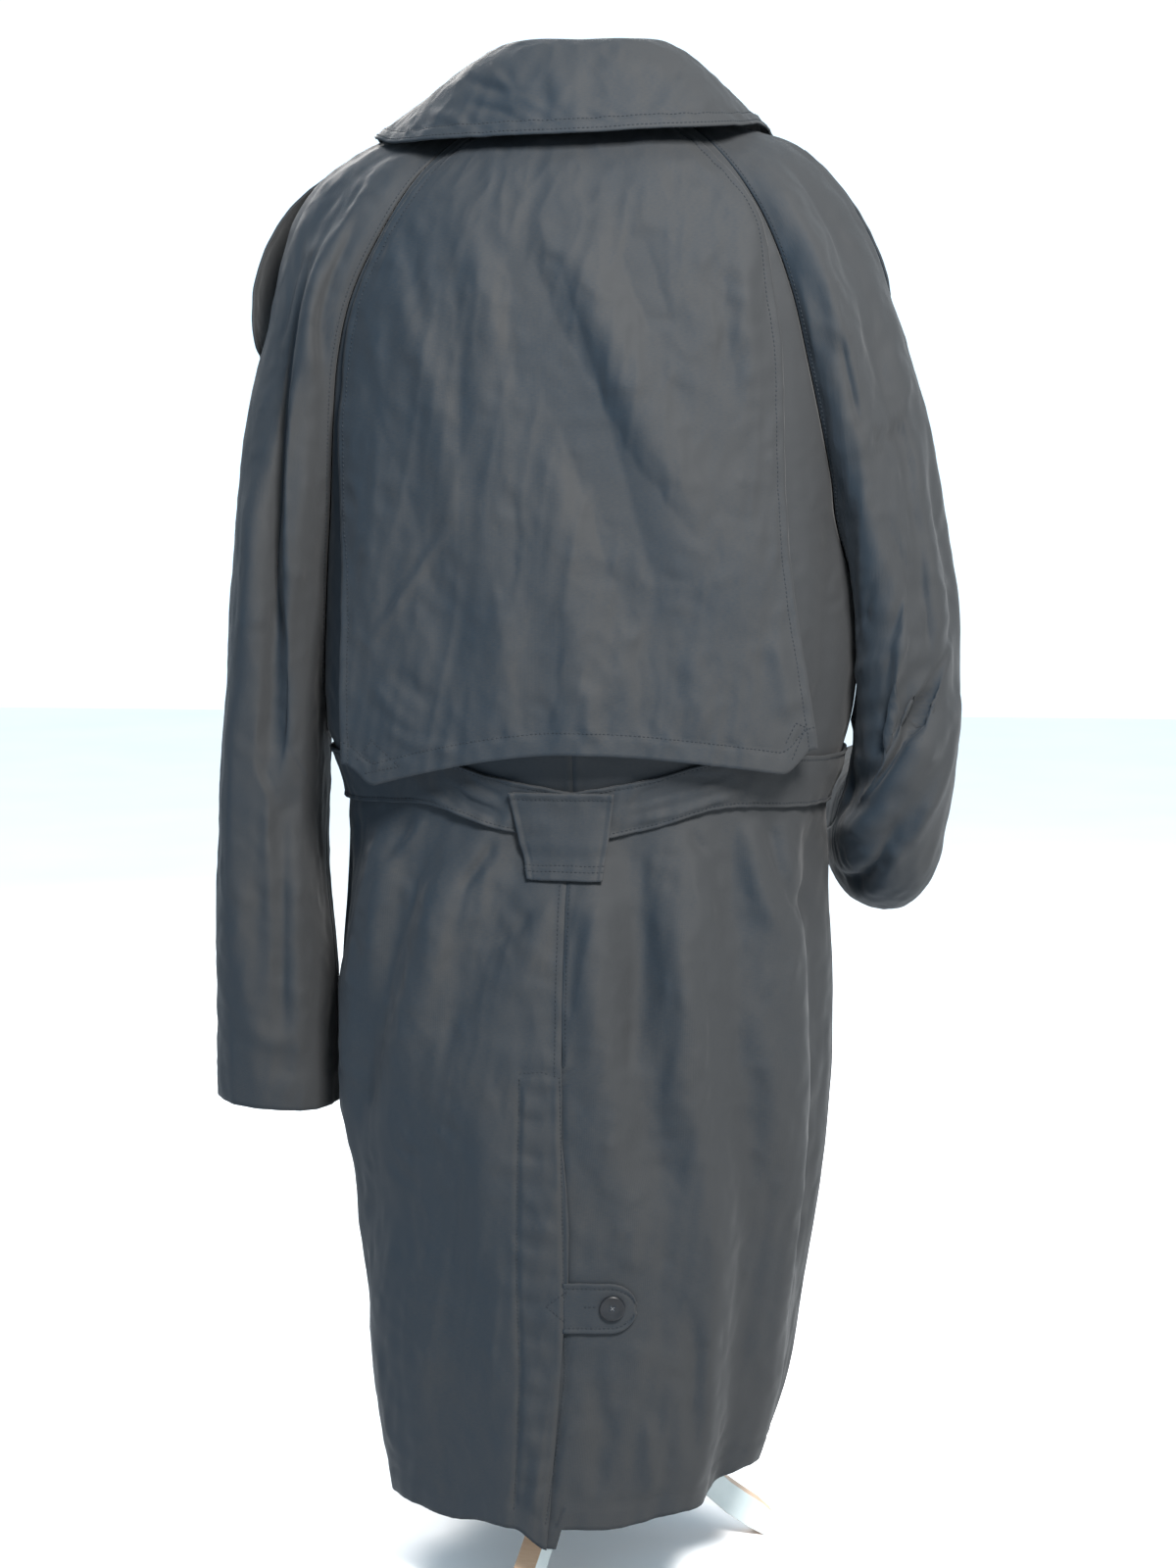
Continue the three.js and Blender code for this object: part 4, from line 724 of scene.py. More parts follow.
LEFT_SLEEVE_CREASES = [
    crease([(380, 198), (345, 281), (333, 324), (334, 375), (345, 400)], 8, -4.0, 0.4),
    crease([(352, 215), (327, 263), (318, 320), (322, 420)], 8, 3.4, 0.3),
    crease([(322, 440), (306, 540), (296, 650)], 10, 3.0, 0.2),
    crease([(300, 640), (290, 760), (288, 900)], 10, -3.4, 0.3),
    crease([(262, 480), (254, 580), (250, 700)], 9, 2.6, 0.2),
    crease([(330, 560), (318, 700), (322, 830)], 9, 2.8, 0.3),
    crease([(270, 700), (262, 860), (268, 1010)], 11, -2.6, 0.2),
    crease([(310, 860), (300, 960), (306, 1080)], 10, 2.6, 0.2),
    crease([(248, 860), (244, 960), (250, 1060)], 9, 2.2),
    crease([(240, 1030), (270, 1060), (320, 1066)], 8, 1.8),
]
# Creases of the hidden front, as distances to the wearer's left and levels
FRONT_CREASES = [
    crease([(150, 1300), (136, 1200), (128, 1050)], 13, -4.0, 0.3),
    crease([(-140, 1320), (-120, 1200), (-118, 1060)], 14, -4.4, 0.3),
    crease([(60, 1180), (50, 1080), (58, 980)], 12, -3.0, 0.2),
    crease([(-50, 1120), (-58, 1040), (-50, 970)], 12, 2.6, 0.2),
    crease([(90, 900), (100, 840), (120, 760)], 8, -4.0, 0.3),
    crease([(40, 900), (44, 820), (36, 720)], 9, -3.4, 0.3),
    crease([(-30, 900), (-36, 820), (-30, 700)], 9, -3.2, 0.3),
    crease([(-90, 900), (-104, 820), (-120, 700)], 9, -4.0, 0.3),
    crease([(70, 640), (80, 520), (76, 400)], 14, -3.4, 0.2),
    crease([(-110, 640), (-104, 520), (-112, 380)], 14, -3.6, 0.2),
    crease([(20, 620), (14, 500), (18, 370)], 13, 2.6, 0.2),
]


def looking():
    """The camera's own right, up and forward directions."""
    turn = math.radians(CAMERA["azimuth"])
    pitch = math.radians(CAMERA["pitch"])
    right = np.array([math.cos(turn), math.sin(turn), 0])
    level = math.cos(pitch)
    forward = np.array([-math.sin(turn) * level, math.cos(turn) * level, -math.sin(pitch)])
    return right, np.cross(right, forward), forward


def in_picture(points):
    """Where the view from behind shows points: across and down the picture."""
    right, up, forward = looking()
    away = points - np.array([CAMERA["x"], CAMERA["y"], CAMERA["z"]])
    depth = away @ forward
    across = PICTURE["width"] / 2 + CAMERA["focus"] * (away @ right) / depth
    down = PICTURE["height"] / 2 - CAMERA["focus"] * (away @ up) / depth
    return np.stack([across, down], axis=-1)


def from_front(points):
    return points[..., [0, 2]]


def crease_relief(creases, flat, unit_size):
    """How far creases move each point out, from the points' flat places."""
    out = np.zeros(flat.shape[:-1])
    for item in creases:
        points = np.array(item["points"], float)
        parts = np.diff(points, axis=0)
        lengths = np.linalg.norm(parts, axis=1)
        total = lengths.sum()
        nearest = np.full(out.shape, 1e9)
        signed = np.zeros(out.shape)
        run = np.zeros(out.shape)
        passed = 0.0
        for start, part, length in zip(points[:-1], parts, lengths):
            along = np.clip((flat - start) @ part / length**2, 0, 1)
            gap = flat - start - along[..., None] * part
            distance = np.hypot(gap[..., 0], gap[..., 1])
            closer = distance < nearest
            side = np.sign(part[0] * gap[..., 1] - part[1] * gap[..., 0])
            nearest = np.where(closer, distance, nearest)
            signed = np.where(closer, distance * side, signed)
            run = np.where(closer, (passed + along * length) / total, run)
            passed += length
        share = signed * unit_size / item["width"]
        bell = np.exp(-np.minimum(share**2, 40))
        taper = ramp(0, item["fade"], run) * ramp(1, 1 - item["fade"], run)
        shape = 1 - abs(item["skew"]) + 1.6 * item["skew"] * share
        out += CREASE_GAIN * item["depth"] * bell * shape * taper
    return out


def crumple(points, amount):
    """Unevenness of thin crisp cloth: soft waves that hang down, and sharp small ridges."""
    flat = points.reshape(-1, 3)
    out = np.empty(len(flat))
    for i, (x, y, z) in enumerate(flat):
        wave = noise.noise(Vector((x / 34, y / 34, z / 150)))
        wide = 0.5 - abs(noise.noise(Vector((x / 52 + 4, y / 52, z / 66))))
        fine = 0.5 - abs(noise.noise(Vector((x / 19 + 9, y / 19, z / 27))))
        streak = 0.5 - abs(noise.noise(Vector(((x + z / 6) / 15 + 2, y / 15, z / 140))))
        out[i] = 1.0 * wave + 1.4 * wide + 1.4 * fine + 1.5 * streak - 1.55
    return amount * out.reshape(points.shape[:-1])


# Materials
def linear(colour):
    """A hex colour as linear light."""
    parts = [int(colour[i : i + 2], 16) / 255 for i in (1, 3, 5)]
    return [c / 12.92 if c <= 0.04045 else ((c + 0.055) / 1.055) ** 2.4 for c in parts] + [1]


def add_node(tree, kind, links=(), **settings):
    """Adds a node, sets its inputs and properties by name, and links (output, input) pairs."""
    node = tree.nodes.new(kind)
    for key, value in settings.items():
        label = key.replace("_", " ")
        if hasattr(node, key):
            setattr(node, key, value)
        elif label in node.inputs:
            node.inputs[label].default_value = value
        else:
            node.inputs[int(key[5:])].default_value = value
    for output, target in links:
        tree.links.new(output, node.inputs[target])
    return node


def start_material(name, **settings):
    material = bpy.data.materials.new(name)
    material.use_nodes = True
    tree = material.node_tree
    shader = tree.nodes["Principled BSDF"]
    for key, value in settings.items():
        shader.inputs[key.replace("_", " ")].default_value = value
    return material, tree, shader


def cloth_with_painted_light(name, dark, light, roughness):
    """Fine weave with random tone and painted light: warm grey where it faces a fixed light direction,
    blue-grey painted shade where it turns away, with slubs and soft crumples.
    """
    material, tree, shader = start_material(
        name, Roughness=roughness, Specular_IOR_Level=0.1, Sheen_Weight=0.03, Sheen_Roughness=0.5
    )
    place = add_node(tree, "ShaderNodeTexCoord")
    cloudy = add_node(
        tree, "ShaderNodeTexNoise", [(place.outputs["Object"], "Vector")], Scale=9, Detail=4, Roughness=0.6
    )
    slub = add_node(tree, "ShaderNodeMapping", [(place.outputs["UV"], "Vector")], Scale=(260, 1500, 1))
    thread = add_node(tree, "ShaderNodeTexNoise", [(slub.outputs[0], "Vector")], Scale=1, Detail=2)
    both = add_node(
        tree, "ShaderNodeMath", [(cloudy.outputs[0], 0), (thread.outputs[0], 1)], operation="ADD"
    )
    # Painted light: the colour turns lighter and warm where the normal faces a fixed light direction, and to
    # blue-grey painted shade where it turns away
    painted_light_facing = add_node(
        tree,
        "ShaderNodeVectorMath",
        [(place.outputs["Normal"], 0)],
        operation="DOT_PRODUCT",
        input1=(-0.85, 0.2, 0.25),
    )
    tone_and_painted_light = add_node(
        tree, "ShaderNodeMath", [(both.outputs[0], 0), (painted_light_facing.outputs[1], 1)], operation="ADD"
    )
    tone = add_node(tree, "ShaderNodeMapRange", [(tone_and_painted_light.outputs[0], 0)], From_Min=0.62, From_Max=1.6)
    colour = add_node(tree, "ShaderNodeValToRGB", [(tone.outputs[0], 0)])
    colour.color_ramp.elements[0].color = linear(dark)
    colour.color_ramp.elements[1].color = linear(light)
    tree.links.new(colour.outputs[0], shader.inputs["Base Color"])
    warp = add_node(
        tree, "ShaderNodeTexWave", [(place.outputs["UV"], "Vector")], Scale=330, bands_direction="X"
    )
    weft = add_node(
        tree, "ShaderNodeTexWave", [(place.outputs["UV"], "Vector")], Scale=330, bands_direction="Y"
    )
    weave = add_node(
        tree, "ShaderNodeMath", [(warp.outputs[1], 0), (weft.outputs[1], 1)], operation="MULTIPLY"
    )
    fine = add_node(
        tree,
        "ShaderNodeTexNoise",
        [(place.outputs["Object"], "Vector")],
        noise_type="RIDGED_MULTIFRACTAL",
        Scale=42,
        Detail=4,
        Roughness=0.55,
    )
    crisp = add_node(
        tree, "ShaderNodeBump", [(fine.outputs[0], "Height")], Strength=0.8, Distance=0.0035
    )
    grain = add_node(
        tree,
        "ShaderNodeBump",
        [(weave.outputs[0], "Height"), (crisp.outputs[0], "Normal")],
        Strength=0.25,
        Distance=0.0003,
    )
    tree.links.new(grain.outputs[0], shader.inputs["Normal"])
    return material


def speckled(name, dark, light, roughness, scale, bump, **settings):
    """A plain surface with faint colour variation and a fine uneven skin."""
    material, tree, shader = start_material(name, Roughness=roughness, **settings)
    place = add_node(tree, "ShaderNodeTexCoord")
    spots = add_node(
        tree, "ShaderNodeTexNoise", [(place.outputs["Object"], "Vector")], Scale=scale, Detail=4
    )
    colour = add_node(tree, "ShaderNodeValToRGB", [(spots.outputs[0], 0)])
    colour.color_ramp.elements[0].position = 0.3
    colour.color_ramp.elements[1].position = 0.7
    colour.color_ramp.elements[0].color = linear(dark)
    colour.color_ramp.elements[1].color = linear(light)
    tree.links.new(colour.outputs[0], shader.inputs["Base Color"])
    raised = add_node(tree, "ShaderNodeBump", [(spots.outputs[0], "Height")], Strength=bump, Distance=0.0006)
    tree.links.new(raised.outputs[0], shader.inputs["Normal"])
    return material


def wood_grain(name, dark, light):
    """Bare board edge: pale wood with long fine grain lines."""
    material, tree, shader = start_material(name, Roughness=0.6)
    place = add_node(tree, "ShaderNodeTexCoord")
    stretch = add_node(tree, "ShaderNodeMapping", [(place.outputs["Object"], "Vector")], Scale=(60, 60, 900))
    grain = add_node(tree, "ShaderNodeTexNoise", [(stretch.outputs[0], "Vector")], Scale=1, Detail=3)
    colour = add_node(tree, "ShaderNodeValToRGB", [(grain.outputs[0], 0)])
    colour.color_ramp.elements[0].color = linear(dark)
    colour.color_ramp.elements[1].color = linear(light)
    tree.links.new(colour.outputs[0], shader.inputs["Base Color"])
    return material


# Plain weave cloth with random tone and painted light and shade: warm grey where the surface faces a fixed
# light direction, cool blue-grey painted shade where it turns away. The weave is drawn at about 1 mm, coarser
# than real, so that it shows.
COAT = cloth_with_painted_light("coat_cloth", "#10181f", "#212223", 0.75)
# Spun polyester thread, twisted: matt and a little darker than the cloth
THREAD = speckled("sewing_thread", "#0f1317", "#1f2327", 0.7, 400, 0.2, Specular_IOR_Level=0.1)
# Waxed button thread: greyer, so that the cross in each button shows
PALE_THREAD = speckled("button_thread", "#3e4042", "#4c4e50", 0.7, 400, 0.2, Specular_IOR_Level=0.1)
# Dyed horn, turned and polished: almost black, with a soft gloss on its rims
HORN = speckled("dark_horn", "#090a0c", "#121417", 0.4, 60, 0.1, Specular_IOR_Level=0.16)
# Cotton jersey stretched over padding: matt, warm white and smooth
FORM_COVER = speckled("form_cover", "#aeaba4", "#bab7b1", 0.85, 500, 0.3, Specular_IOR_Level=0.2)
# Satin paint rolled on board: pale cool grey with a faint stipple
PAINT = speckled("stand_paint", "#959e9e", "#a0a8a8", 0.5, 40, 0.15, Specular_IOR_Level=0.3)
# Sawn birch board: the bare edges are light brown with fine lines along them
BARE_WOOD = wood_grain("bare_wood", "#a07f62", "#b69c84")


# Mesh builders
def finish_object(name, bm, materials, node, smooth=True):
    """Links a mesh as a piece that rides on the part and stands for its solid."""
    mesh = bpy.data.meshes.new(name)
    bm.to_mesh(mesh)
    bm.free()
    for material in materials:
        mesh.materials.append(material)
    if smooth:
        mesh.shade_smooth()
    if smooth == "crisp":
        mesh.set_sharp_from_angle(angle=math.radians(32))
    thing = bpy.data.objects.new(name, mesh)
    bpy.context.scene.collection.objects.link(thing)
    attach(thing, "root")
    if node:
        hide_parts(node)
    return thing


def measure(points):
    """The distances along rows and down columns of a grid of points."""
    across = np.zeros(points.shape[:2])
    down = np.zeros(points.shape[:2])
    across[:, 1:] = np.cumsum(np.linalg.norm(np.diff(points, axis=1), axis=2), axis=1)
    down[1:] = np.cumsum(np.linalg.norm(np.diff(points, axis=0), axis=2), axis=0)
    return across, down


def grid_normals(points, outward):
    """Normals of a grid of points, turned to the side that outward tells."""
    down = np.gradient(points, axis=0)
    across = np.gradient(points, axis=1)
    normals = unit(np.cross(across, down))
    middle = tuple(n // 2 for n in points.shape[:2])
    return normals if normals[middle] @ outward(points[middle]) > 0 else -normals


def from_axis(point):
    return np.array([point[0], point[1], 0])


EDGES = {
    "first": lambda across, down: across,
    "last": lambda across, down: across[:, -1:] - across,
    "top": lambda across, down: down,
    "bottom": lambda across, down: down[-1:] - down,
}


def hem(*rows, pucker=0.22):
    """A turned edge with rows of stitches at distances from it."""
    return {"kind": "hem", "rows": rows, "pucker": pucker}


def edge_relief(across, down, edge, style):
    """Relief along an edge: a sewn groove, or a turned hem with its row of stitches."""
    away = EDGES[edge](across, down)
    along = down if edge in ("first", "last") else across
    if style["kind"] == "seam":
        groove = -0.45 * np.exp(-((away / 1.4) ** 2))
        welt = 0.35 * np.exp(-(((away - 4) / 2.5) ** 2)) * style.get("welt", 1)
        return groove + welt
    rows = np.asarray(style["rows"], float)
    pinch = sum(-0.55 * np.exp(-(((away - row) / 1.3) ** 2)) for row in rows)
    thick = 0.7 * ramp(rows.max() + 1, rows.max() - 1, away)
    ripple = np.sin(along / 3.1) + np.sin(along / 4.7 + 1.3)
    pucker = style["pucker"] * ripple * np.exp(-(((away - rows.max()) / 5) ** 2))
    return pinch + thick + pucker


def covered(points):
    """Nought where another piece lies tight on a body panel, and one where the cloth is free."""
    x, y, z = points[..., 0], points[..., 1], points[..., 2]
    at_belt = column(BELT, "z", "at", np.abs((np.degrees(np.arctan2(x, y)) + 180) % 360 - 180))
    free = ramp(24, 42, np.abs(z - at_belt))
    for left, right, bottom, top in ((-42, 54, 842, 944), (-62, -4, 498, 556)):
        off = np.maximum(np.maximum(left - x, x - right), np.maximum(bottom - z, z - top))
        free = free * np.where(y > 0, ramp(-4, 10, off), 1)
    collar = ramp(1408, 1375, z)
    flap = np.where(y > 0, 0.25 + 0.75 * ramp(935, 905, z), 1)
    return free * collar * flap


def cloth(name, surface, rows, cols, options):
    """A thin shell of cloth on a surface. Options: edges (edge to style), creases and their flat
    view, crumple, thickness, outward and cut (its flat width, length and area in millimetres; not used)."""
    shares = 1 - (1 - np.linspace(0, 1, cols)) ** options.get("gather", 1)
    p, q = np.meshgrid(np.linspace(0, 1, rows), shares, indexing="ij")
    base = surface(p, q)
    outward = options.get("outward", from_axis)
    normals = grid_normals(base, outward)
    across, down = measure(base)
    calm = np.ones(base.shape[:2])
    for edge in options.get("sewn", ()):
        calm = calm * ramp(0, 14, EDGES[edge](across, down))
    calm = calm * options.get("free", lambda points: 1)(base)
    relief = crumple(base, options.get("crumple", 1.1)) * calm
    for creases, flat, size in options.get("creases", ()):
        relief = relief + crease_relief(creases, flat(base), size) * calm
    for edge, style in options.get("edges", {}).items():
        relief = relief + edge_relief(across, down, edge, style)
    relief = np.clip(relief, options.get("deepest", -9), options.get("highest", 9))
    points = base + normals * relief[..., None]
    bm = bmesh.new()
    uv = bm.loops.layers.uv.new("cloth")
    bmesh.ops.create_grid(bm, x_segments=cols - 1, y_segments=rows - 1, size=0.5, calc_uvs=True)
    width, length = across[:, -1].mean() / 1000, down[-1].mean() / 1000
    flat_points = metres(points)
    for vert in bm.verts:
        col = round((vert.co.x + 0.5) * (cols - 1))
        row = round((vert.co.y + 0.5) * (rows - 1))
        vert.co = flat_points[row, col]
    for face in bm.faces:
        for loop in face.loops:
            loop[uv].uv = (loop[uv].uv.x * width, loop[uv].uv.y * length)
    bm.normal_update()
    bm.faces.ensure_lookup_table()
    middle = tuple(n // 2 for n in points.shape[:2])
    face = bm.faces[(middle[0] * (cols - 1)) + middle[1]]
    if Vector(normals[middle]).dot(face.normal) < 0:
        bmesh.ops.reverse_faces(bm, faces=bm.faces)
    thing = finish_object(name + "_cloth", bm, [COAT], name)
    shell = thing.modifiers.new("thickness", "SOLIDIFY")
    shell.thickness = options.get("thickness", SHELL) / 1000
    shell.offset = -1
    return {"points": points, "normals": normals, "across": across, "down": down}


def stitch_path(piece, edge, offset, start=0.0, end=1.0):
    """Points and normals of a line at a distance from an edge of a cloth piece."""
    points, normals = piece["points"], piece["normals"]
    away = EDGES[edge](piece["across"], piece["down"])
    if edge in ("top", "bottom"):
        points, normals, away = points.transpose(1, 0, 2), normals.transpose(1, 0, 2), away.T
    if edge in ("last", "bottom"):
        points, normals, away = points[:, ::-1], normals[:, ::-1], away[:, ::-1]
    count = len(points)
    path = []
    for row in range(int(start * (count - 1)), int(end * (count - 1)) + 1):
        k = int(np.clip(np.searchsorted(away[row], offset), 1, away.shape[1] - 1))
        t = (offset - away[row, k - 1]) / max(away[row, k] - away[row, k - 1], 1e-6)
        at = mix(points[row, k - 1], points[row, k], np.clip(t, 0, 1))
        path.append((at, normals[row, k]))
    return path


def stitches(name, paths, pitch=3.4, long=2.4, radius=0.42):
    """Rows of single stitches that lie along paths of points and normals."""
    bm = bmesh.new()
    for path in paths:
        points = np.array([p for p, _ in path])
        normals = np.array([n for _, n in path])
        run = np.concatenate([[0], np.cumsum(np.linalg.norm(np.diff(points, axis=0), axis=1))])
        for at in np.arange(pitch / 2, run[-1], pitch):
            k = int(np.clip(np.searchsorted(run, at), 1, len(run) - 1))
            t = (at - run[k - 1]) / max(run[k] - run[k - 1], 1e-6)
            middle = mix(points[k - 1], points[k], t)
            along = Vector(points[k] - points[k - 1]).normalized()
            normal = Vector(normals[k]).normalized()
            side = along.cross(normal).normalized()
            turn = Matrix((along, side, normal)).transposed().to_4x4()
            turn.translation = Vector(metres(middle + np.array(normal) * radius * 0.35))
            size = Matrix.Diagonal((long / 2000, radius / 1000, radius / 1000, 1))
            bmesh.ops.create_icosphere(bm, subdivisions=1, radius=1, matrix=turn @ size)
    finish_object(name, bm, [THREAD], None)


# The body of the coat
SEAM = {"kind": "seam"}
FLAT_SEAM = {"kind": "seam", "welt": 0}
back_view = [(BACK_CREASES, in_picture, 0.75)]
front_view = [(FRONT_CREASES, from_front, 1.0)]
back_left = cloth(
    "back_left",
    body_panel(1, True, vent_drift, vent_lift),
    280,
    120,
    {
        "gather": 1.5,
        "edges": {"first": FLAT_SEAM, "last": SEAM, "bottom": hem(20, pucker=0.1)},
        "sewn": ("first", "top"),
        "creases": back_view,
        "free": covered,
        "cut": (330, 1090, 280000),
    },
)
back_right = cloth(
    "back_right",
    body_panel(-1, True, vent_reach, lambda place, z: 0 * place),
    270,
    100,
    {
        "gather": 1.25,
        "edges": {"first": FLAT_SEAM, "last": SEAM, "bottom": hem(20, pucker=0.1)},
        "sewn": ("first", "top"),
        "creases": back_view,
        "free": covered,
        "cut": (365, 1090, 298000),
    },
)
cloth(
    "front_left",
    body_panel(1, False, wrap_place, lambda place, z: wrap_lift(place)),
    210,
    64,
    {
        "edges": {"first": FLAT_SEAM, "last": hem(8), "bottom": hem(20)},
        "sewn": ("first", "top"),
        "creases": front_view,
        "free": covered,
        "highest": 1.4,
        "crumple": 0.8,
        "deepest": -3.0,
        "cut": (420, 1080, 360000),
    },
)
cloth(
    "front_right",
    body_panel(-1, False, wrap_place, lambda place, z: 0 * place),
    210,
    64,
    {
        "edges": {"first": FLAT_SEAM, "last": hem(8), "bottom": hem(20)},
        "sewn": ("first", "top"),
        "creases": front_view,
        "free": covered,
        "highest": 1.4,
        "crumple": 0.8,
        "cut": (420, 1080, 360000),
    },
)

# Sleeves
SLEEVE_TABLES = {
    "left": (LEFT_SLEEVE, LEFT_SLEEVE_FOLDS, 1, LEFT_SLEEVE_CREASES),
    "right": (RIGHT_SLEEVE, RIGHT_SLEEVE_FOLDS, -1, RIGHT_SLEEVE_CREASES),
}
# The cut of each half sleeve: width, length and area
SLEEVE_CUTS = {
    "sleeve_left_back": (250, 860, 145000),
    "sleeve_left_front": (250, 860, 148000),
    "sleeve_right_back": (250, 860, 142000),
    "sleeve_right_front": (225, 860, 118000),
}
sleeves = {}
for side_name, (rows, folds, side, creases) in SLEEVE_TABLES.items():
    for is_back in (True, False):
        half = sleeve_half(rows, folds, side, is_back)
        middle = half(np.array([0.5]), np.array([0.5]))[0]
        rims = half(np.array([0.5, 0.5]), np.array([0.0, 1.0]))
        centre = (rims[0] + rims[1]) / 2
        name = f"sleeve_{side_name}_{'back' if is_back else 'front'}"
        sleeves[name] = cloth(
            name,
            half,
            200,
            60,
            {
                "edges": {"first": FLAT_SEAM, "last": FLAT_SEAM, "top": FLAT_SEAM, "bottom": hem(30)},
                "sewn": ("first", "last", "top"),
                "creases": [(creases, in_picture, 0.78)] if is_back else [],
                "outward": lambda point, away=middle - centre: away,
                "cut": SLEEVE_CUTS[name],
            },
        )

# Storm flap
storm_flap = cloth(
    "storm_flap",
    flap_surface,
    170,
    180,
    {
        "edges": {
            "bottom": hem(17, pucker=0.6),
            "first": hem(7, pucker=0.15),
            "last": hem(7, pucker=0.15),
        },
        "sewn": ("top",),
        "creases": [(FLAP_CREASES, in_picture, 0.75)],
        "deepest": -2.2,
        "cut": (430, 520, 176000),
    },
)

# Collar, lapels, belt and tabs
collar_fall = cloth(
    "collar_fall",
    fall_surface,
    60,
    260,
    {
        "edges": {
            "bottom": hem(11, pucker=0.5),
            "first": hem(9, pucker=0.1),
            "last": hem(9, pucker=0.1),
        },
        "sewn": ("top",),
        "thickness": DOUBLE_SHELL,
        "outward": lambda point: np.array([0, point[1], 60]),
        "creases": [(COLLAR_CREASES, in_picture, 0.78)],
        "crumple": 0.9,
        "cut": (560, 95, 50000),
    },
)
cloth(
    "collar_stand",
    stand_surface,
    14,
    120,
    {"sewn": ("top", "bottom"), "crumple": 0.4, "cut": (400, 62, 17000)},
)
lapels = {
    "lapel_left": cloth(
        "lapel_left",
        lapel(1, LAPEL_LEFT),
        70,
        36,
        {
            "edges": {"last": hem(8), "top": hem(8)},
            "thickness": DOUBLE_SHELL,
            "crumple": 0.5,
            "deepest": -0.8,
            "cut": (135, 245, 20500),
        },
    ),
    "lapel_right": cloth(
        "lapel_right",
        lapel(-1, LAPEL_RIGHT),
        40,
        30,
        {
            "edges": {"last": hem(8), "top": hem(8)},
            "thickness": DOUBLE_SHELL,
            "crumple": 0.5,
            "deepest": -0.8,
            "cut": (110, 110, 6400),
        },
    ),
}
belt = cloth(
    "belt",
    belt_surface,
    26,
    460,
    {
        "edges": {"top": hem(3), "bottom": hem(3)},
        "creases": [(BELT_CREASES, in_picture, 0.75)],
        "thickness": DOUBLE_SHELL,
        "crumple": 1.3,
        "deepest": -1.9,
        "cut": (1090, 42, 45000),
    },
)
belt_loop = cloth(
    "belt_loop",
    loop_surface,
    44,
    56,
    {
        "edges": {
            "top": hem(5),
            "bottom": hem(7, 12),
            "first": hem(4),
            "last": hem(4),
        },
        "thickness": DOUBLE_SHELL,
        "crumple": 0.6,
        "deepest": -0.8,
        "cut": (81, 70, 5000),
    },
)
vent_tab = cloth(
    "vent_tab",
    tab_surface,
    30,
    34,
    {
        "edges": {"top": hem(4), "bottom": hem(4)},
        "crumple": 0.25,
        "thickness": 1.3,
        "deepest": -0.4,
        "cut": (56, 40, 2100),
    },
)
TAB_CUTS = {"left": (48, 185, 8600), "right": (46, 155, 6900)}
for side_name, tab in SHOULDER_TABS.items():
    rows, folds, side, _ = SLEEVE_TABLES[side_name]
    shape = strap(sleeve_half(rows, folds, side, False), side, tab)
    cloth(
        f"shoulder_tab_{side_name}",
        shape,
        54,
        20,
        {
            "edges": {
                "first": hem(5),
                "last": hem(5),
                "bottom": hem(5),
            },
            "thickness": DOUBLE_SHELL,
            "crumple": 0.5,
            "outward": lambda point, side=side: np.array([side, -0.4, 0.6]),
            "cut": TAB_CUTS[side_name],
        },
    )

# Rows of stitching
def picture_path(piece, marks, step=3.0):
    """Points and normals on a piece along a line through places of the picture."""
    points = piece["points"]
    normals = piece["normals"]
    seen = in_picture(points)
    marks = np.array(marks, float)
    path = []
    for start, end in zip(marks[:-1], marks[1:]):
        count = max(2, int(np.hypot(*(end - start)) / step))
        for share in np.linspace(0, 1, count, endpoint=False):
            target = mix(start, end, share)
            gap = np.hypot(*np.moveaxis(seen - target, -1, 0))
            i, j = np.unravel_index(np.argmin(gap), gap.shape)
            i = int(np.clip(i, 1, seen.shape[0] - 2))
            j = int(np.clip(j, 1, seen.shape[1] - 2))
            frame_of = np.stack([seen[i, j + 1] - seen[i, j - 1], seen[i + 1, j] - seen[i - 1, j]], axis=1)
            a, b = np.linalg.solve(frame_of, target - seen[i, j])
            at = points[i, j] + a * (points[i, j + 1] - points[i, j - 1])
            path.append((at + b * (points[i + 1, j] - points[i - 1, j]), normals[i, j]))
    return path


MARKS = {
    "flap_triangle_left": (storm_flap, [(364, 776), (379, 755), (407, 782), (368, 790)]),
    "flap_triangle_right": (storm_flap, [(808, 776), (822, 742), (812, 738), (800, 762)]),
    "vent_triangle": (back_left, [(579, 1318), (557, 1333), (579, 1352)]),
    "vent_bar": (back_left, VENT_BAR),
    "vent_line": (back_left, VENT_LINE),
    "vent_edge_line": (back_left, VENT_EDGE),
    "buttonhole": (vent_tab, [(595, 1334), (612, 1334)]),
}
for mark_name, (piece, marks) in MARKS.items():
    stitches(mark_name + "_stitching", [picture_path(piece, marks)])

STITCHED = {
    "collar_stitching": [stitch_path(collar_fall, "bottom", 11), stitch_path(collar_fall, "bottom", 3)],
    "flap_stitching": [stitch_path(storm_flap, "bottom", 17)],
    "flap_side_stitching": [stitch_path(storm_flap, "first", 7), stitch_path(storm_flap, "last", 7)],
    "centre_stitching": [
        stitch_path(back_left, "last", 5, 0.51, 0.67),
        stitch_path(back_right, "last", 3, 0.51, 0.67),
    ],
    "loop_stitching": [
        stitch_path(belt_loop, "bottom", 7),
        stitch_path(belt_loop, "bottom", 12),
        stitch_path(belt_loop, "top", 5),
    ],
    "belt_stitching": [stitch_path(belt, "top", 3), stitch_path(belt, "bottom", 3)],
    "tab_stitching": [stitch_path(vent_tab, "top", 4), stitch_path(vent_tab, "bottom", 4)],
    "raglan_stitching": [
        stitch_path(sleeves["sleeve_left_back"], "top", 5, NECK_SHARE),
        stitch_path(sleeves["sleeve_right_back"], "top", 5, NECK_SHARE),
    ],
}
for stitch_name, paths in STITCHED.items():
    stitches(stitch_name, paths)


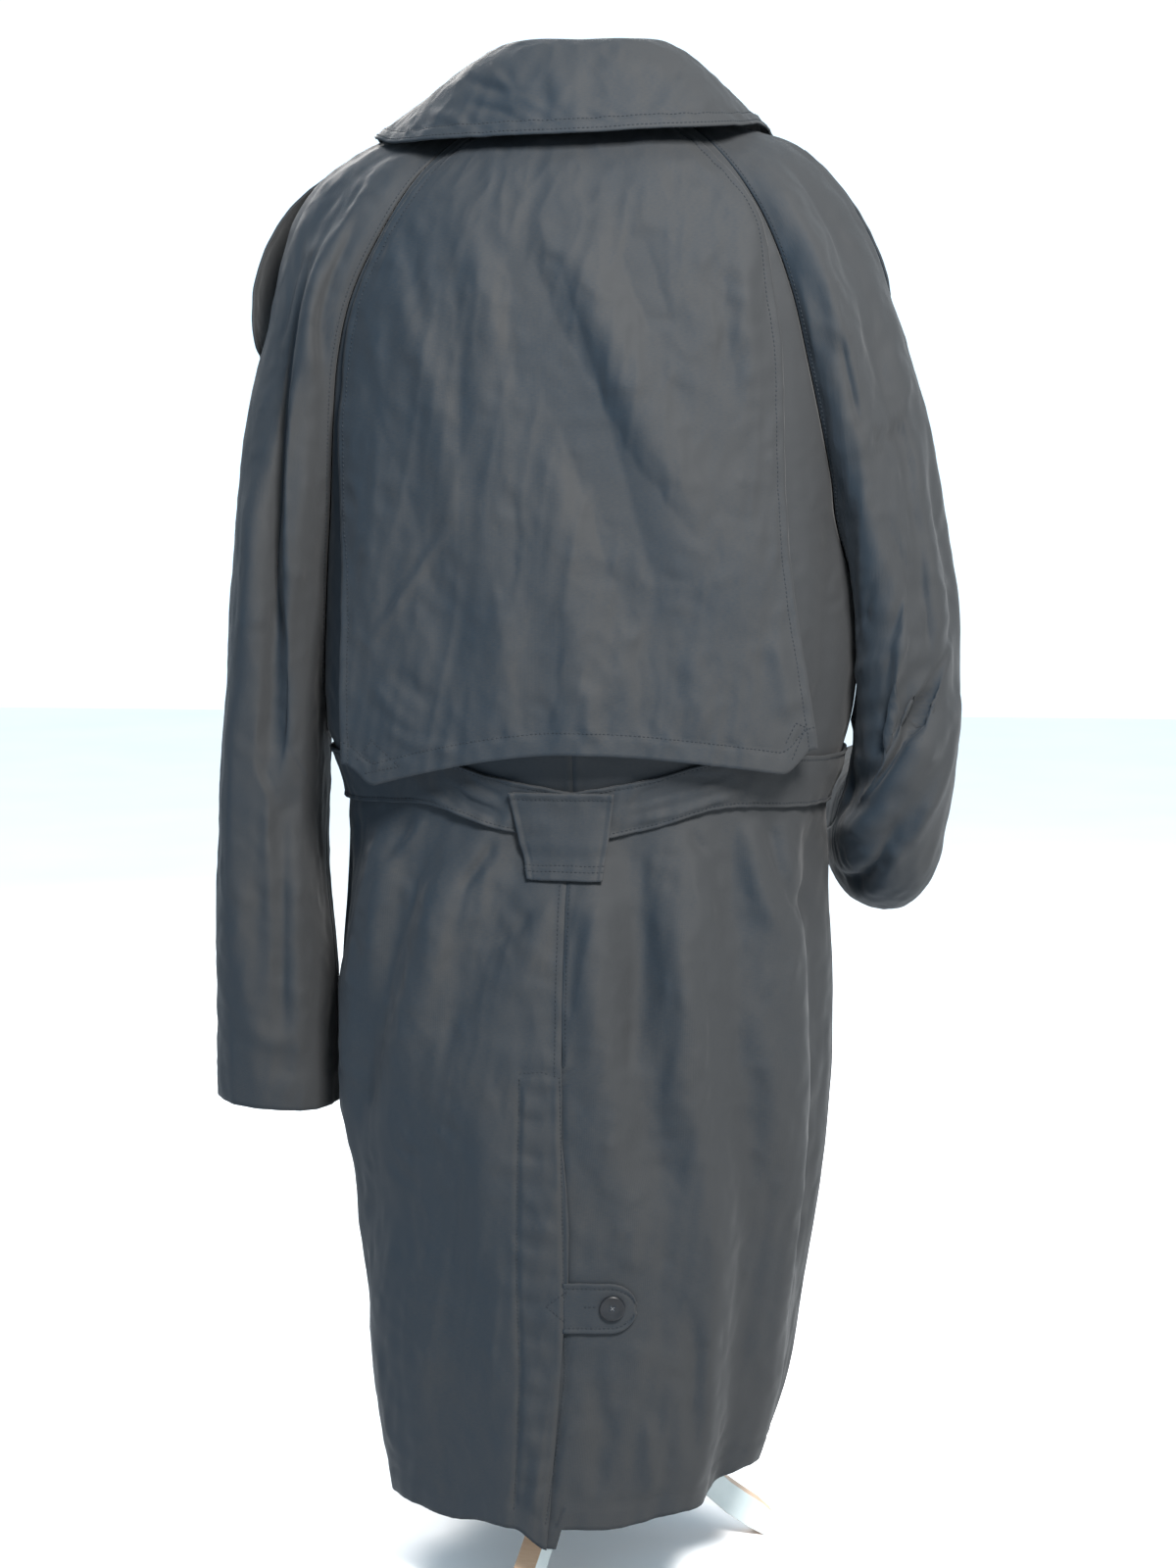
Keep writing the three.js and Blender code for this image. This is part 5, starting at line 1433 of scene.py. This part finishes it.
# Buttons: a turned disc with a raised rim, four holes and a cross of thread
def turned(bm, profile, steps):
    """Adds a turned shape about Z from a profile of radii and heights in millimetres."""
    verts = [bm.verts.new((radius / 1000, 0, height / 1000)) for radius, height in profile]
    edges = [bm.edges.new(pair) for pair in zip(verts[:-1], verts[1:])]
    bmesh.ops.spin(
        bm, geom=verts + edges, cent=(0, 0, 0), axis=(0, 0, 1), angle=2 * math.pi, steps=steps, use_merge=True
    )


def button(node, radius, foot, axis):
    """One button that stands on its foot along an axis."""
    turn = Vector((0, 0, 1)).rotation_difference(Vector(axis)).to_matrix().to_4x4()
    turn.translation = Vector(metres(np.asarray(foot, float)))
    bm = bmesh.new()
    rim = radius * 0.16
    profile = [
        (0.0, 0.0),
        (radius * 0.8, 0.0),
        (radius * 0.94, 0.5),
        (radius, 1.5),
        (radius * 0.97, 2.6),
        (radius - rim * 0.6, 3.1),
        (radius - rim * 1.4, 3.0),
        (radius - rim * 2.2, 2.4),
        (radius * 0.45, 2.1),
        (0.0, 2.1),
    ]
    turned(bm, profile, 48)
    bmesh.ops.remove_doubles(bm, verts=bm.verts, dist=1e-6)
    bmesh.ops.recalc_face_normals(bm, faces=bm.faces)
    bmesh.ops.transform(bm, matrix=turn, verts=bm.verts)
    finish_object(node + "_disc", bm, [HORN], node, "crisp")
    bm = bmesh.new()
    for sx, sy in ((1, 1), (1, -1), (-1, 1), (-1, -1)):
        at = turn @ Matrix.Translation((sx * radius * 0.000155, sy * radius * 0.000155, 0.0021))
        bmesh.ops.create_cone(
            bm, cap_ends=True, segments=16, radius1=radius * 0.00011, radius2=radius * 0.00011,
            depth=0.0002, matrix=at,
        )
    finish_object(node + "_holes", bm, [THREAD], None, False)
    bm = bmesh.new()
    for angle in (math.pi / 4, -math.pi / 4):
        at = turn @ Matrix.Translation((0, 0, 0.0025)) @ Matrix.Rotation(angle, 4, "Z")
        size = Matrix.Diagonal((radius * 0.00022, 0.00042, 0.00042, 1))
        bmesh.ops.create_icosphere(bm, subdivisions=2, radius=1, matrix=at @ size)
    finish_object(node + "_thread", bm, [PALE_THREAD], None)


def body_button(node, radius, place, z, lift):
    at = body_point(place, z, lift)
    along = body_point(place + 2.0, z) - body_point(place - 2.0, z)
    axis = unit(np.cross(along, body_point(place, z + 8.0) - body_point(place, z - 8.0)))
    if axis @ from_axis(at) < 0:
        axis = -axis
    button(node, radius, at, axis)


body_button("vent_button", 10, float(back_place(-33, 528)), 528.0, 2.5)
# Front buttons: the places of both columns round the body, and the lift of each off it
FRONT_BUTTON_RADIUS = 14
FRONT_BUTTON_PLACES = (155.0, 205.0)
FRONT_BUTTON_ROWS = table(
    "z left right",
    (1150, 5.9, 5.9),
    (1040, 5.8, 5.6),
    (830, 5.9, 5.3),
    (700, 5.9, 5.9),
)
for i, (z, left, right) in enumerate(zip(*FRONT_BUTTON_ROWS.values())):
    body_button(f"front_button_left_{i + 1}", FRONT_BUTTON_RADIUS, FRONT_BUTTON_PLACES[0], z, left)
    body_button(f"front_button_right_{i + 1}", FRONT_BUTTON_RADIUS, FRONT_BUTTON_PLACES[1], z, right)
for side_name, tab in SHOULDER_TABS.items():
    rows, folds, side, _ = SLEEVE_TABLES[side_name]
    shape = strap(sleeve_half(rows, folds, side, False), side, tab)
    at = shape(np.array([0.2, 0.24, 0.16, 0.2, 0.2]), np.array([0.5, 0.5, 0.5, 0.7, 0.3]))
    axis = unit(np.cross(at[1] - at[2], at[3] - at[4]))
    if axis @ np.array([side, 0, 1]) < 0:
        axis = -axis
    button(f"shoulder_button_{side_name}", 9, at[0] + axis * 0.5, axis)


# Dress form: rounded sections from the neck down to the hips
FORM = table(
    "z half back front power",
    (1478, 50, 50, 50, 2),
    (1455, 51, 50, 50, 2),
    (1440, 60, 53, 50, 2),
    (1434, 86, 55, 51, 1.7),
    (1428, 116, 60, 55, 1.5),
    (1422.2, 150, 66, 60, 1.5),
    (1408, 168, 76, 72, 1.6),
    (1385, 176, 88, 86, 1.7),
    (1350, 176, 100, 98, 1.9),
    (1290, 166, 108, 114, 2.1),
    (1200, 150, 110, 122, 2.2),
    (1110, 138, 104, 112, 2.2),
    (1020, 124, 94, 98, 2.2),
    (950, 120, 90, 92, 2.2),
    (870, 140, 102, 104, 2.2),
    (790, 150, 110, 108, 2.2),
    (735, 148, 108, 104, 2.2),
)


def form_surface(z, angle):
    sine = np.sin(angle)
    cosine = np.cos(angle)
    power = np.interp(-z, -FORM["z"], FORM["power"])
    half = np.interp(-z, -FORM["z"], FORM["half"])
    back = np.interp(-z, -FORM["z"], FORM["back"])
    front = np.interp(-z, -FORM["z"], FORM["front"])
    depth = np.where(cosine > 0, back, front)
    radius = (np.abs(sine / half) ** power + np.abs(cosine / depth) ** power) ** (-1 / power)
    return xyz(radius * sine, radius * cosine, z)


def build_form():
    """The form's cover: a tube round its sections, closed at both ends."""
    steps = 72
    bm = bmesh.new()
    levels = np.concatenate([np.linspace(a, b, 5)[:-1] for a, b in zip(FORM["z"][:-1], FORM["z"][1:])])
    levels = np.append(levels, FORM["z"][-1])
    bmesh.ops.create_grid(bm, x_segments=steps, y_segments=len(levels) - 1, size=0.5)
    angles = np.linspace(0, 2 * np.pi, steps + 1)
    points = metres(form_surface(levels[:, None], angles[None, :]))
    for vert in bm.verts:
        col = round((vert.co.x + 0.5) * steps)
        row = round((vert.co.y + 0.5) * (len(levels) - 1))
        vert.co = points[row, col]
    bmesh.ops.remove_doubles(bm, verts=bm.verts, dist=1e-5)
    bmesh.ops.holes_fill(bm, edges=[e for e in bm.edges if e.is_boundary], sides=0)
    bmesh.ops.recalc_face_normals(bm, faces=bm.faces)
    return finish_object("form_torso_cover", bm, [FORM_COVER], "form_torso")


build_form()

# Stand: turned cap, pole and hub, and board legs with painted faces and bare edges
TURNED = {
    "form_neck_cap": [
        (0, 1478.3), (50, 1478.3), (51, 1479.3), (51, 1482), (49.5, 1484), (46, 1484.3), (0, 1484.3),
    ],
    "stand_pole": [(0, 392.3), (12, 392.3), (13, 393.3), (13, 733.7), (12, 734.7), (0, 734.7)],
    "stand_hub": [
        (0, 314), (22, 314), (24.5, 315), (26, 317.5), (26, 388.5), (24.5, 391), (22, 392), (0, 392),
    ],
}
for node, profile in TURNED.items():
    bm = bmesh.new()
    verts = [bm.verts.new((radius, 0, level)) for radius, level in profile]
    edges = [bm.edges.new(pair) for pair in zip(verts[:-1], verts[1:])]
    bmesh.ops.spin(
        bm, geom=verts + edges, cent=(0, 0, 0), axis=(0, 0, 1), angle=2 * math.pi, steps=64, use_merge=True
    )
    bmesh.ops.remove_doubles(bm, verts=bm.verts, dist=1e-4)
    bmesh.ops.recalc_face_normals(bm, faces=bm.faces)
    for vert in bm.verts:
        vert.co = Vector(metres(np.array(vert.co)))
    finish_object(node + "_turned", bm, [PAINT], node, "crisp")

BOARD = 18
LEG_DIRECTIONS = [16, 136, -105]
LEG_OUTLINE = [
    (26.4, 376), (58, 368), (84, 352), (104, 334), (121, 317), (134, 307), (149, 296), (158, 287),
    (163, 277), (166, 268), (150, 268), (135, 277), (117, 290), (95, 311), (64, 330), (26.4, 338),
]
for i, direction in enumerate(LEG_DIRECTIONS):
    bm = bmesh.new()
    face = bm.faces.new([bm.verts.new((reach, -BOARD / 2, level)) for reach, level in LEG_OUTLINE])
    made = bmesh.ops.extrude_face_region(bm, geom=[face])
    moved = [v for v in made["geom"] if isinstance(v, bmesh.types.BMVert)]
    bmesh.ops.translate(bm, verts=moved, vec=(0, BOARD, 0))
    bmesh.ops.recalc_face_normals(bm, faces=bm.faces)
    for board_face in bm.faces:
        board_face.material_index = 0 if len(board_face.verts) > 4 else 1
    turn = Matrix.Rotation(math.radians(90 - direction), 4, "Z")
    for vert in bm.verts:
        vert.co = Vector(metres(np.array(turn @ vert.co)))
    node = f"stand_leg_{i + 1}"
    leg = finish_object(node + "_board", bm, [PAINT, BARE_WOOD], node, False)
    soft = leg.modifiers.new("edges", "BEVEL")
    soft.width = 0.0008
    soft.segments = 2
    soft.limit_method = "ANGLE"
    soft.angle_limit = math.radians(50)

# Buckle on the front of the belt
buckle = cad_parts["belt_buckle"]
buckle.data.materials.clear()
buckle.data.materials.append(HORN)

# Floor, light and camera
bm = bmesh.new()
bmesh.ops.create_grid(bm, x_segments=1, y_segments=1, size=6)
floor_mesh = bpy.data.meshes.new("floor")
bm.to_mesh(floor_mesh)
bm.free()
floor = bpy.data.objects.new("floor", floor_mesh)
bpy.context.scene.collection.objects.link(floor)
floor_mesh.materials.append(speckled("studio_floor", "#e6e6e6", "#ebebeb", 0.8, 3, 0.0))


def area_light(name, place, target, size, power, colour):
    """A soft square light at a place that faces a target."""
    light = bpy.data.lights.new(name, "AREA")
    light.size = size
    light.energy = power
    light.color = colour
    thing = bpy.data.objects.new(name, light)
    thing.location = place
    thing.rotation_mode = "QUATERNION"
    thing.rotation_quaternion = (Vector(target) - Vector(place)).to_track_quat("-Z", "Y")
    bpy.context.scene.collection.objects.link(thing)


area_light("key_light", (-0.6, 1.55, 1.95), (0, 0.1, 1.0), 0.5, 190, (1.0, 0.98, 0.96))
area_light("front_light", (0.9, -2.0, 2.1), (0, 0, 0.8), 1.0, 90, (1.0, 0.95, 0.9))
world = bpy.data.worlds.new("studio")
bpy.context.scene.world = world
world.use_nodes = True
world.node_tree.nodes["Background"].inputs["Color"].default_value = (0.82, 1.0, 1.15, 1)
world.node_tree.nodes["Background"].inputs["Strength"].default_value = 1.23
bpy.context.scene.view_settings.view_transform = "Standard"

camera_data = bpy.data.cameras.new("camera")
camera_data.sensor_width = 36
camera_data.lens = CAMERA["focus"] / PICTURE["height"] * 36
camera = bpy.data.objects.new("camera", camera_data)
bpy.context.scene.collection.objects.link(camera)
camera.location = Vector(metres(np.array([CAMERA["x"], CAMERA["y"], CAMERA["z"]])))
camera.rotation_mode = "QUATERNION"
camera.rotation_quaternion = Vector(looking()[2]).to_track_quat("-Z", "Y")
bpy.context.scene.camera = camera
